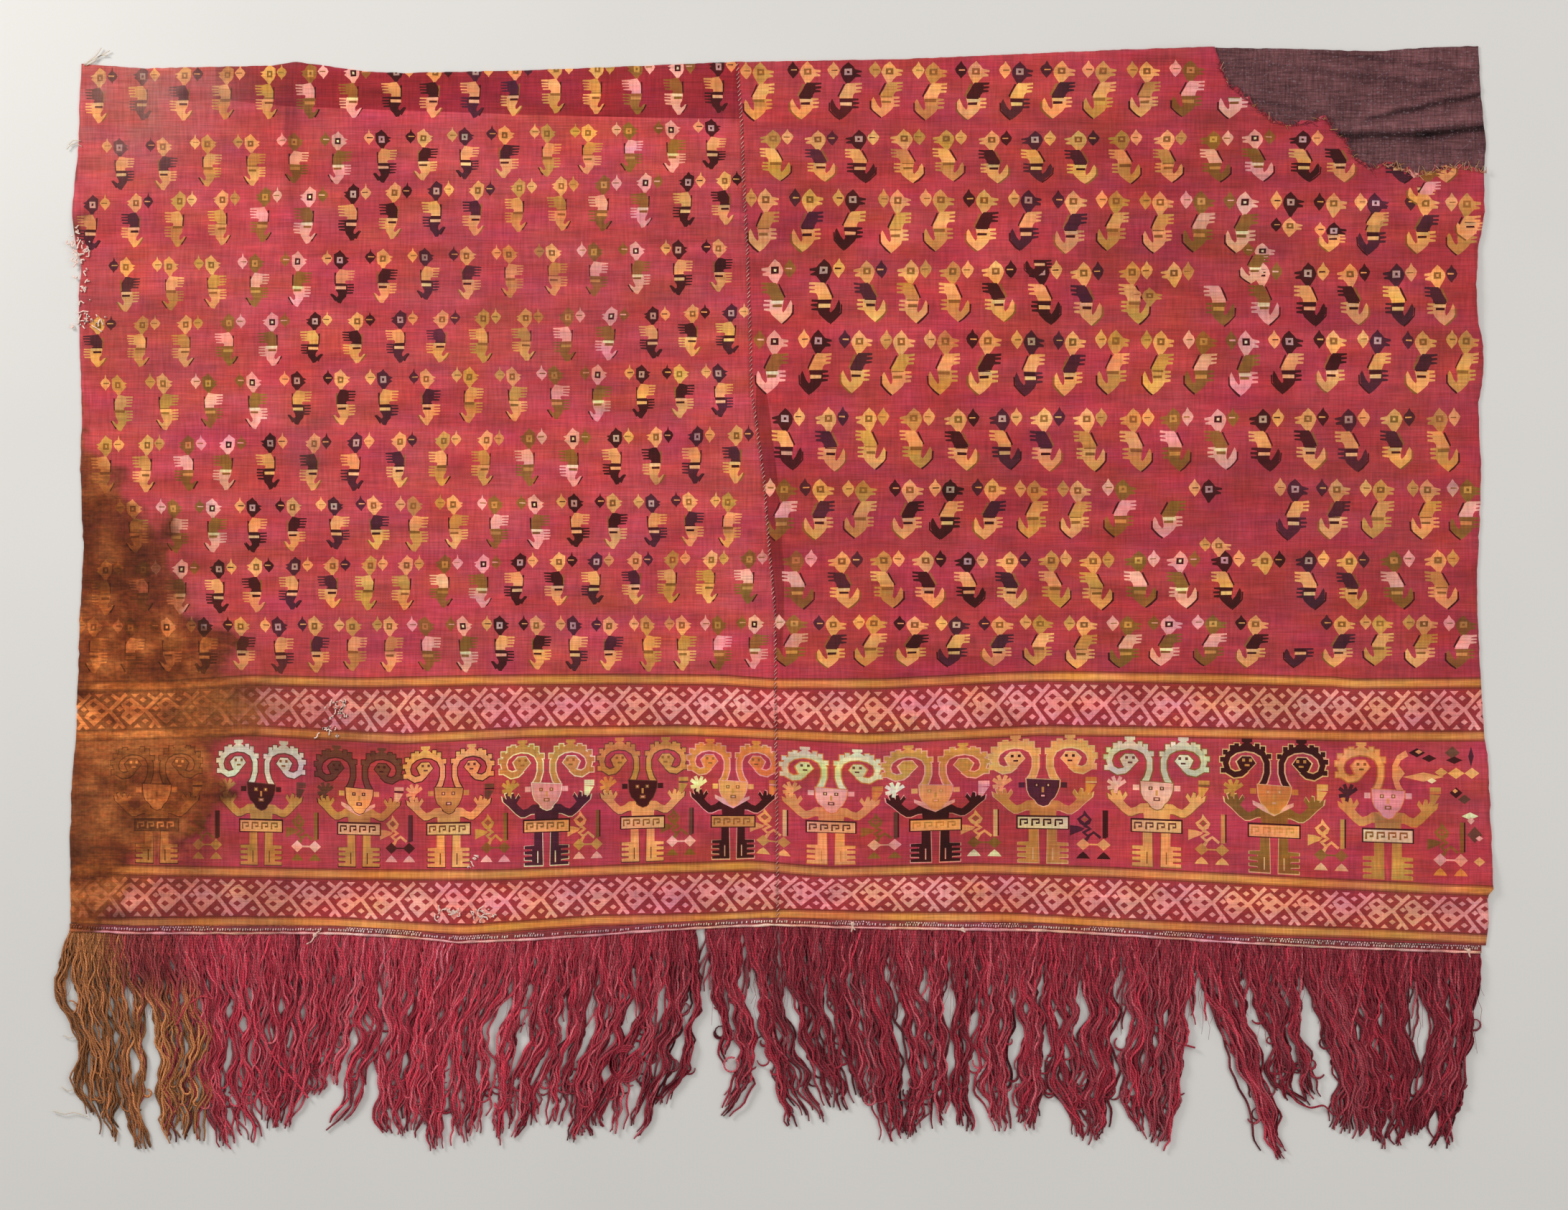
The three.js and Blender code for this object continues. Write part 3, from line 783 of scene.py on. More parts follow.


# Blots of the webs: centre, half width, half height and strength, then the colour they lean to.
# Most are dirt and stain; the two at x -519 and -511 are painted shade along the crease of the fold there.
BLOTS_AND_CREASE_SHADE = [(*(float(number) for number in numbers), linear(code)) for *numbers, code in words("""
-690 535 80 75 0.42 #A9786C
-600 560 60 40 0.25 #9A6A5E
-498 178 26 40 0.38 #6E4440
-560 -90 60 60 0.42 #5E2C1A
-470 -130 70 60 0.34 #5E2C1A
-640 300 80 60 0.24 #8A4A34
700 -330 60 30 0.2 #6E3A30
560 150 160 60 0.14 #7E2830
-250 330 120 90 0.12 #D0606A
-400 -230 60 40 0.3 #6A301E
-590 -115 60 26 0.45 #A5632C
-560 -315 70 22 0.35 #4E2416
-350 -110 200 60 0.12 #7A4030
120 500 130 60 0.12 #8A2A30
-665 -334 62 11 0.7 #42200F
-680 -236 34 14 0.6 #3A170A
-735 -215 26 50 0.4 #94582E
-519 530 8 52 0.5 #6E2028
-511 440 8 56 0.3 #7A2830
-640 60 50 60 0.35 #5A2C18
30 60 60 120 0.12 #8A2A2E""")]


@dataclass(frozen=True)
class WearAndCreaseShade:
    """Fading, dirt and the brown stain of the webs, and painted shade along the crease of the fold at x -520
    in the left web, as changes of colour that follow the place.
    """

    stain_edge: Edge = Edge(chart("-600,-664 -400,-700 -346,-712 -276,-668 -240,-626 -199,-596 -122,-570 "
                                  "-45,-588 40,-632 78,-655 140,-694 193,-735 240,-762"))
    stain: str = "#75360F"
    stain_light: str = "#AC622E"
    stain_rim: str = "#4A2414"
    brightness: tuple[float, float, float] = (0.3, 0.5, 0.2)

    def stain_depth(self, x: Array, y: Array) -> Array:
        """How far a place lies inside the stain's wandering edge.

        Args:
            x: places along x.
            y: places along y.

        Returns:
            The depth, below zero outside the stain.
        """
        wander = (52 * (soft_noise(x, y, (52, 40), 7) - 0.5) + 30 * (soft_noise(x, y, (17, 13), 8) - 0.5)
                  + 16 * (soft_noise(x, y, (7, 6), 14) - 0.5))
        return self.stain_edge.at(y) + wander - x

    def stain_share(self, x: Array, y: Array) -> Array:
        """How far the stain covers a place: full inside, and thin where it reached only the band
        between the two upper stripes and the figures' heads.

        Args:
            x: places along x.
            y: places along y.

        Returns:
            Shares from 0 to 1.
        """
        depth = self.stain_depth(x, y)
        share = smoothstep(depth, -3, 12) * (0.86 + 0.10 * smoothstep(depth, 10, 60))
        edge_x = -549 + 5 * (soft_noise(x, y, (6, 6), 18) - 0.5)
        band = (1 - smoothstep(x, edge_x - 2, edge_x + 2)) * smoothstep(y, -148, -140) * (
            1 - smoothstep(y, -88, -80))
        low = (1 - smoothstep(x, -620, -575)) * smoothstep(y, -350, -270) * (1 - smoothstep(y, -150, -140))
        rough = 0.45 + 0.75 * soft_noise(x, y, (24, 12), 19)
        return np.maximum(share, np.maximum(0.66 * band, 0.66 * low) * rough)

    def apply(self, colour: Array, x: Array, y: Array) -> Array:
        """Colours after wear and the painted crease shade.

        Args:
            colour: linear colours, one row a place.
            x: places along the width.
            y: places along the height.

        Returns:
            The colours, dulled by soft noise and blots, darkened along the crease by painted shade, and
            turned brown inside the stain.
        """
        tone = 0.84 + 0.32 * soft_noise(x, y, (60, 13), 3)
        tone *= 0.88 + 0.24 * soft_noise(x, y, (190, 130), 4)
        tone *= 0.86 + 0.28 * soft_noise(x, y, (21, 8), 5)
        worn = colour * tone[:, None]
        worn[:, 1] *= 0.80 + 0.40 * soft_noise(x, y, (48, 22), 12)
        worn[:, 2] *= 0.68 + 0.64 * soft_noise(x, y, (36, 18), 13)
        depth = self.stain_depth(x, y)
        inside = self.stain_share(x, y)
        mottle = soft_noise(x, y, (34, 24), 9) * 0.6 + soft_noise(x, y, (12, 9), 15) * 0.4
        dark, light = linear(self.stain), linear(self.stain_light)
        share = smoothstep(mottle + 0.16 * smoothstep(-y, -60, 200), 0.50, 0.96)
        stain = (dark * (0.1 + 1.8 * mottle)[:, None] * (1 - share[:, None]) + light * share[:, None])
        faded = 0.75 * smoothstep(-y, 250, 300) * smoothstep(-x, 690, 710)
        # The motifs still show through the stain, but for the faded lower left corner.
        show = 0.34 + 3.9 * colour @ np.array(self.brightness)
        stain *= ((show * (1 - faded) + faded) * (1 - 0.36 * smoothstep(y, -60, 40)))[:, None]
        worn += (stain - worn) * inside[:, None]
        # Blots of dirt and stain; the two at x -519 and -511 are painted shade along the crease
        for at_x, at_y, wide, tall, strength, blot in BLOTS_AND_CREASE_SHADE:
            rough = 0.4 + 1.2 * soft_noise(x, y, (18, 14), 6)
            share = strength * rough * np.exp(-((x - at_x) / wide) ** 2 - ((y - at_y) / tall) ** 2)
            worn += (blot - worn) * np.clip(share, 0, 1)[:, None]
        rim = 0.6 * np.exp(-((depth - 5) / 8) ** 2) * soft_noise(x, y, (26, 20), 16)
        return worn + (linear(self.stain_rim) - worn) * rim[:, None]


WEAR_AND_CREASE_SHADE = WearAndCreaseShade()


def add_node(tree: bpy.types.NodeTree, kind: str, settings: dict[str, Any] | None = None,
             inputs: dict[str | int, Any] | None = None) -> bpy.types.Node:
    """Adds a node, sets its settings, and sets or links its inputs.

    Args:
        tree: the material's node tree.
        kind: the node's type name.
        settings: values of the node's own properties.
        inputs: for each input, a plain value or the output socket to link to it.

    Returns:
        The node.
    """
    node = tree.nodes.new(kind)
    for name, value in (settings or {}).items():
        setattr(node, name, value)
    for name, value in (inputs or {}).items():
        if isinstance(value, bpy.types.NodeSocket):
            tree.links.new(value, node.inputs[name])
        else:
            node.inputs[name].default_value = value
    return node


def new_material(name: str) -> tuple[bpy.types.Material, bpy.types.NodeTree, bpy.types.Node]:
    """A material with only an output, its tree, and that output.

    Args:
        name: its name.

    Returns:
        Material, tree and output.
    """
    material = bpy.data.materials.new(name)
    material.use_nodes = True
    material.node_tree.nodes.clear()
    return material, material.node_tree, add_node(material.node_tree, "ShaderNodeOutputMaterial")


def grain(tree: bpy.types.NodeTree, size_mm: tuple[float, float, float], detail: float) -> Any:
    """Noise on Object coordinates with grains of the given size along x, y and z, from 0 to 1.

    Args:
        tree: the material's nodes.
        size_mm: size of a grain.
        detail: how much finer noise is added.

    Returns:
        The output socket.
    """
    place = add_node(tree, "ShaderNodeTexCoord").outputs["Object"]
    scaled = add_node(tree, "ShaderNodeMapping", inputs={
        "Vector": place, "Scale": [1 / (size * MM) for size in size_mm]}).outputs["Vector"]
    return add_node(tree, "ShaderNodeTexNoise", inputs={
        "Vector": scaled, "Scale": 1.0, "Detail": detail, "Roughness": 0.6}).outputs["Fac"]


def ranged(tree: bpy.types.NodeTree, value: Any, low: float, high: float) -> Any:
    """A value of 0.25 to 0.75, as noise mostly gives, spread from low to high.

    Args:
        tree: the material's nodes.
        value: a socket.
        low: new lower end.
        high: new upper end.

    Returns:
        The output socket.
    """
    return add_node(tree, "ShaderNodeMapRange", inputs={
        "Value": value, "From Min": 0.25, "From Max": 0.75, "To Min": low, "To Max": high,
    }).outputs["Result"]


def shaded(tree: bpy.types.NodeTree, colour: Any, *factors: Any) -> Any:
    """A colour multiplied by each grey factor in turn.

    Args:
        tree: the material's nodes.
        colour: a colour or socket.
        factors: grey sockets.

    Returns:
        The output socket.
    """
    for factor in factors:
        colour = add_node(tree, "ShaderNodeMix", {"data_type": "RGBA", "blend_type": "MULTIPLY"},
                          {0: 1.0, 6: colour, 7: factor}).outputs[2]
    return colour


@dataclass(frozen=True)
class TapestryWool:
    """Weft-faced wool tapestry: matt, with fine weft streaks across and soft warp ribs down."""

    name: str = "tapestry_wool"
    weft_mm: float = 1.5    # real wefts are about 0.5 mm apart; drawn in threes, so that they show
    rib_mm: float = 2.4     # warp ribs, drawn at about twice their spacing

    def build(self) -> bpy.types.Material:
        """The material: the yarn colours of the piece, streaked and ribbed.

        Returns:
            The material.
        """
        material, tree, output = new_material(self.name)
        yarn = add_node(tree, "ShaderNodeAttribute", {"attribute_name": "yarn"}).outputs
        weft = grain(tree, (34, self.weft_mm, 20), 3)
        rib = grain(tree, (self.rib_mm, 30, 20), 2)
        batch = grain(tree, (240, 9, 60), 2)
        dirt = add_node(tree, "ShaderNodeMix", {"data_type": "FLOAT"}, {
            0: yarn["Alpha"], 2: ranged(tree, grain(tree, (8, 4, 20), 5), 0.5, 1.5), 3: 1.0}).outputs[0]
        hue = add_node(tree, "ShaderNodeMix", {"data_type": "RGBA"}, {
            0: ranged(tree, grain(tree, (22, 5, 20), 3), 0, 1), 6: (1.06, 0.88, 0.84, 1),
            7: (0.96, 1.1, 1.14, 1)}).outputs[2]
        colour = shaded(tree, yarn["Color"], ranged(tree, weft, 0.74, 1.26), ranged(tree, rib, 0.80, 1.20),
                        ranged(tree, batch, 0.90, 1.10), dirt, hue)
        relief = add_node(tree, "ShaderNodeMath", {"operation": "ADD"}, {0: weft, 1: rib}).outputs[0]
        fine = add_node(tree, "ShaderNodeBump", inputs={
            "Height": relief, "Strength": 0.5, "Distance": 0.0008}).outputs["Normal"]
        pucker = add_node(tree, "ShaderNodeBump", inputs={
            "Height": grain(tree, (38, 30, 30), 2), "Strength": 0.5, "Distance": 0.006,
            "Normal": fine}).outputs["Normal"]
        shader = add_node(tree, "ShaderNodeBsdfPrincipled", inputs={
            "Base Color": colour, "Roughness": 0.9, "Specular IOR Level": 0.2, "Sheen Weight": 0.15,
            "Sheen Roughness": 0.5, "Normal": pucker})
        tree.links.new(shader.outputs["BSDF"], output.inputs["Surface"])
        return material


@dataclass(frozen=True)
class OpenPlainWeave:
    """Old cotton plain weave, open and dull purple-brown: threads show both ways, with grey flecks."""

    name: str = "open_plain_weave"
    colour: str = "#6F4749"
    fleck: str = "#8F8088"
    thread_mm: float = 2.0  # real threads are about 1 mm apart; drawn at twice that, so that they show

    def build(self) -> bpy.types.Material:
        """The material: two crossing sets of uneven threads over a mottled ground.

        Returns:
            The material.
        """
        material, tree, output = new_material(self.name)
        across = grain(tree, (26, self.thread_mm, 20), 2)
        along = grain(tree, (self.thread_mm, 26, 20), 2)
        mottle = grain(tree, (60, 44, 40), 3)
        fleck = grain(tree, (3.2, 2.4, 20), 1)
        # The yarn attribute holds the painted crease shade and highlight of the backing cloth
        creased = add_node(tree, "ShaderNodeAttribute", {"attribute_name": "yarn"}).outputs["Color"]
        colour = shaded(tree, (*linear(self.colour), 1), creased, ranged(tree, across, 0.55, 1.5),
                        ranged(tree, along, 0.6, 1.45), ranged(tree, mottle, 0.75, 1.25))
        pale = add_node(tree, "ShaderNodeMapRange", inputs={
            "Value": fleck, "From Min": 0.6, "From Max": 0.72, "To Max": 0.4}).outputs["Result"]
        colour = add_node(tree, "ShaderNodeMix", {"data_type": "RGBA"}, {
            0: pale, 6: colour, 7: (*linear(self.fleck), 1)}).outputs[2]
        relief = add_node(tree, "ShaderNodeMath", {"operation": "ADD"}, {0: across, 1: along}).outputs[0]
        bump = add_node(tree, "ShaderNodeBump", inputs={
            "Height": relief, "Strength": 0.7, "Distance": 0.001}).outputs["Normal"]
        shader = add_node(tree, "ShaderNodeBsdfPrincipled", inputs={
            "Base Color": colour, "Roughness": 0.95, "Specular IOR Level": 0.15, "Normal": bump})
        tree.links.new(shader.outputs["BSDF"], output.inputs["Surface"])
        return material


@dataclass(frozen=True)
class PliedYarn:
    """Two-ply yarn: matt wool or cotton with the turns of its plies as slanting shade."""

    name: str
    depth: float = 0.3
    sheen: float = 0.25

    def build(self) -> bpy.types.Material:
        """The material: the strand's own colour, darker in the grooves between the plies.

        Returns:
            The material.
        """
        material, tree, output = new_material(self.name)
        yarn = add_node(tree, "ShaderNodeAttribute", {"attribute_name": "yarn"}).outputs["Color"]
        turns = add_node(tree, "ShaderNodeUVMap", {"uv_map": "ply"}).outputs["UV"]
        parts = add_node(tree, "ShaderNodeSeparateXYZ", inputs={"Vector": turns}).outputs
        slant = add_node(tree, "ShaderNodeMath", {"operation": "ADD"}, {0: parts[0], 1: parts[1]})
        angle = add_node(tree, "ShaderNodeMath", {"operation": "MULTIPLY"},
                         {0: slant.outputs[0], 1: 4 * np.pi})
        wave = add_node(tree, "ShaderNodeMath", {"operation": "SINE"}, {0: angle.outputs[0]})
        groove = add_node(tree, "ShaderNodeMapRange", inputs={
            "Value": wave.outputs[0], "From Min": -1.0, "To Min": 1 - self.depth, "To Max": 1.08,
        }).outputs["Result"]
        # Painted shade in the grooves between the plies and a slight painted highlight on their crests, times
        # an uneven fibre tone
        colour = shaded(tree, yarn, groove, ranged(tree, grain(tree, (3, 7, 3), 2), 0.8, 1.2))
        bump = add_node(tree, "ShaderNodeBump", inputs={
            "Height": groove, "Strength": 0.6, "Distance": 0.0008}).outputs["Normal"]
        shader = add_node(tree, "ShaderNodeBsdfPrincipled", inputs={
            "Base Color": colour, "Roughness": 0.85, "Specular IOR Level": 0.15,
            "Sheen Weight": self.sheen, "Sheen Roughness": 0.45, "Normal": bump})
        tree.links.new(shader.outputs["BSDF"], output.inputs["Surface"])
        return material


@dataclass(frozen=True)
class StudioPaper:
    """Matt pale background paper, with a faint tooth."""

    name: str = "studio_paper"
    colour: str = "#DEDBD6"

    def build(self) -> bpy.types.Material:
        """The material: one pale colour, very slightly mottled.

        Returns:
            The material.
        """
        material, tree, output = new_material(self.name)
        tooth = ranged(tree, grain(tree, (300, 300, 300), 2), 0.98, 1.02)
        colour = shaded(tree, (*linear(self.colour), 1), tooth)
        shader = add_node(tree, "ShaderNodeBsdfPrincipled", inputs={
            "Base Color": colour, "Roughness": 0.95, "Specular IOR Level": 0.1})
        tree.links.new(shader.outputs["BSDF"], output.inputs["Surface"])
        return material


class Shell(NamedTuple):
    """A mesh in the making: points in millimetres, faces, and for each face corner its colour and
    its place on the piece's own map. A fourth colour value tells how clean the cloth is."""

    points: Array
    faces: list[Array]
    colours: Array
    uv: Array


def add_piece(name: str, shell: Shell, material: bpy.types.Material, nodes: Iterable[str],
              uv_name: str) -> bpy.types.Object:
    """Makes a mesh object from a shell and ties it to the frame.

    Args:
        name: name of the piece.
        shell: its points, faces and corner values; faces is a list of index arrays.
        material: its finish.
        nodes: the CAD nodes that it stands for.
        uv_name: name of its map.

    Returns:
        The object.
    """
    mesh = bpy.data.meshes.new(name)
    mesh.from_pydata((shell.points * MM).tolist(), [], [f for group in shell.faces for f in group.tolist()])
    colours = mesh.attributes.new("yarn", "FLOAT_COLOR", "CORNER")
    rgba = np.ones((len(shell.colours), 4))
    rgba[:, :shell.colours.shape[1]] = np.clip(shell.colours, 0, 1)
    colours.data.foreach_set("color", rgba.astype(np.float32).ravel())
    layer = mesh.uv_layers.new(name=uv_name)
    layer.uv.foreach_set("vector", shell.uv.astype(np.float32).ravel())
    mesh.polygons.foreach_set("use_smooth", np.full(len(mesh.polygons), True))
    mesh.materials.append(material)
    mesh.update()
    piece = bpy.data.objects.new(name, mesh)
    bpy.context.scene.collection.objects.link(piece)
    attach(piece, "root")
    if nodes:
        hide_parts(*nodes)
    LOG.info("%s: %d triangles", name, sum(len(p) * (p.shape[1] - 2) for p in shell.faces))
    return piece


def densify(points: Array, step: float) -> Array:
    """A line with points added so that none are further apart than step.

    Args:
        points: the line.
        step: the longest step.

    Returns:
        The denser line.
    """
    length = np.concatenate([[0], np.cumsum(np.hypot(*np.diff(points, axis=0).T))])
    count = max(2, int(np.ceil(length[-1] / step)) + 1)
    at = np.unique(np.concatenate([np.linspace(0, length[-1], count), length]))
    return np.stack([np.interp(at, length, points[:, k]) for k in (0, 1)], axis=1)


@dataclass
class Web:
    """One loom width of weft-faced tapestry: a flat closed sheet whose coloured shapes are cut
    into its triangles, the same on both faces, as they are in double-faced tapestry."""

    name: str
    node: str
    ground: Yarn
    top: Edge
    side: int                       # -1 left web, 1 right web
    grid_mm: float = 7.0
    grid_inset: float = 3.0
    edge_mm: float = 6.0
    torn_mm: float = 3.0
    foot_points: int = 130
    frayed: float = 1.6
    area_share: float = 0.98        # of the web's width times its height
    patches: list[Patch] = field(default_factory=list)

    def outline(self) -> Array:
        """Counter-clockwise edge: lower, right, upper and left run, a little uneven.

        Returns:
            The points of the edge.
        """
        half_gap = self.side * SEWN_GAP / 2
        seam_y = np.array(SEAM_ENDS)[::-self.side]
        seam = densify(np.stack([SEAM.at(seam_y) + half_gap, seam_y], axis=1), self.edge_mm)
        seam[:, 0] = SEAM.at(seam[:, 1]) + half_gap
        if self.side < 0:
            ends = (LEFT_EDGE.at(-343), SEAM.at(-338) + half_gap)
            free_y, edge, seed = np.arange(576, -344, -self.edge_mm), LEFT_EDGE, 21
        else:
            ends = (SEAM.at(-338) + half_gap, RIGHT_EDGE.at(-364))
            free_y, edge, seed = np.arange(-360, 461, self.edge_mm), RIGHT_EDGE, 22
        free = np.stack([edge.at(free_y), free_y], axis=1)
        free[:, 0] += self.frayed * (soft_noise(free_y, free_y, (9, 9), seed) - 0.5)
        left, right = (free, seam) if self.side < 0 else (seam, free)
        low_x = np.linspace(ends[0], ends[1], self.foot_points)
        lower = np.stack([low_x, CORD_LINE.at(low_x) + HEADING_TALL + SEWN_GAP], axis=1)
        return np.concatenate([lower, right[2:-1], self.upper(right[-1, 0], left[0, 0]), left[1:-2]])

    def upper(self, start: float, end: float) -> Array:
        """The top edge from right to left, with ragged tongues of weft along the tear.

        Args:
            start: its right end.
            end: its left end.

        Returns:
            The points of the top edge.
        """
        xs = self.top.rows[:, 0]
        knots = np.concatenate([[start], xs[(xs < start - 2) & (xs > end + 2)][::-1], [end]])
        line = densify(np.stack([knots, self.top.at(knots)], axis=1), self.torn_mm)
        torn = smoothstep(line[:, 0], 474, 482) if self.side > 0 else np.zeros(len(line))
        ragged = soft_noise(line[:, 0], line[:, 1], (5, 5), 23) - 0.5
        line[:, 1] += ragged * (0.8 + 7.5 * torn)
        line[1:-1, 0] += (soft_noise(line[1:-1, 0], line[1:-1, 1], (7, 7), 24) - 0.5) * 3 * torn[1:-1]
        return line

    def underside(self, x: Array, y: Array) -> Array:
        """Height of the underside: soft ridges, and in the right web the lap over the patch."""
        height = fold_height(WEB_FOLDS, x, y)
        return height + lap_lift(x, y) if self.side > 0 else height

    def triangulate(self) -> tuple[Array, Array, Array]:
        """Cuts the outline, the coloured shapes and a grid of plain points into triangles.

        Returns:
            Points, triangles, and for each triangle the number of the topmost shape that holds it,
            with 0 for the plain ground.
        """
        outline = self.outline()
        low, high = outline.min(axis=0), outline.max(axis=0)
        grid = np.stack(np.meshgrid(*(np.arange(a + self.grid_inset, b - self.grid_inset, self.grid_mm)
                                      for a, b in zip(low, high))), axis=-1)
        rings = [outline, *(counter_clockwise(patch.points) for patch in self.patches)]
        starts = np.cumsum([0, *(len(ring) for ring in rings)])
        faces = [list(range(a, b)) for a, b in zip(starts[:-1], starts[1:])]
        points = np.concatenate([*rings, grid.reshape(-1, 2)])
        made = delaunay_2d_cdt(points.tolist(), [], faces, 1, 1e-3, True)
        inside = [k for k, origin in enumerate(made[5]) if 0 in origin]
        shape = np.array([max(made[5][k]) for k in inside])
        return np.array(made[0]), np.array([made[2][k] for k in inside]), shape

    def shell(self) -> Shell:
        """Both faces and the rim. The upper face lies one cloth thickness over the underside.

        Returns:
            The shell.
        """
        flat, triangles, shape = self.triangulate()
        used, inverse = np.unique(triangles, return_inverse=True)
        flat, triangles = flat[used], inverse.reshape(-1, 3)
        x, y = flat.T
        count = len(flat)
        under = self.underside(x, y)
        ripple = 0.25 * (soft_noise(x, y, (26, 22), 31) - 0.5)
        points = np.concatenate([np.stack([x, y, under], axis=1),
                                 np.stack([x, y, under + WEB_THICK + ripple - 0.12], axis=1)])
        edges = triangles[:, [0, 1, 1, 2, 2, 0]].reshape(-1, 2)
        owner = np.repeat(np.arange(len(triangles)), 3)
        key = edges[:, 0].astype(np.int64) * count + edges[:, 1]
        back = edges[:, 1].astype(np.int64) * count + edges[:, 0]
        rim = ~np.isin(key, back)
        a, b = edges[rim].T
        quads = np.stack([a, b, b + count, a + count], axis=1)
        yarns = np.array([self.ground.rgb, *(patch.yarn.rgb for patch in self.patches)])
        dyed = np.array([False, *(not patch.yarn.name.startswith(("GROUND", "STRIPE", "LATTICE"))
                                  for patch in self.patches)])
        rng = np.random.default_rng(25)
        yarns[dyed] *= rng.normal(1, 0.07, (dyed.sum(), 1)) * rng.normal(1, 0.04, (dyed.sum(), 3))
        face_colour = yarns[shape]
        corner_face = np.concatenate([np.repeat(face_colour, 3, axis=0)] * 2
                                     + [np.repeat(face_colour[owner[rim]], 4, axis=0)])
        corners = np.concatenate([triangles.ravel() + count, triangles[:, ::-1].ravel(), quads.ravel()])
        place = points[corners, :2]
        low, size = flat.min(axis=0) - 4, np.ptp(flat, axis=0).max() + 8
        on_map = place.copy()
        out = flat[b] - flat[a]
        out = np.stack([out[:, 1], -out[:, 0]], axis=1) / np.maximum(np.hypot(*out.T), 1e-6)[:, None]
        side_map = on_map[-4 * len(quads):].reshape(-1, 4, 2)
        side_map[:, :2] += out[:, None] * WEB_THICK
        on_map[-4 * len(quads):] = side_map.reshape(-1, 2)
        return Shell(points, [triangles + count, triangles[:, ::-1], quads],
                     np.column_stack([WEAR_AND_CREASE_SHADE.apply(corner_face, *place.T), 1 - WEAR_AND_CREASE_SHADE.stain_share(*place.T)]),
                     (on_map - low) / size)

    def build(self, finish: TapestryWool) -> None:
        """Args:
            finish: the wool.
        """
        shell = self.shell()
        piece = add_piece(self.name, shell, finish.build(), [self.node], "OFBake")


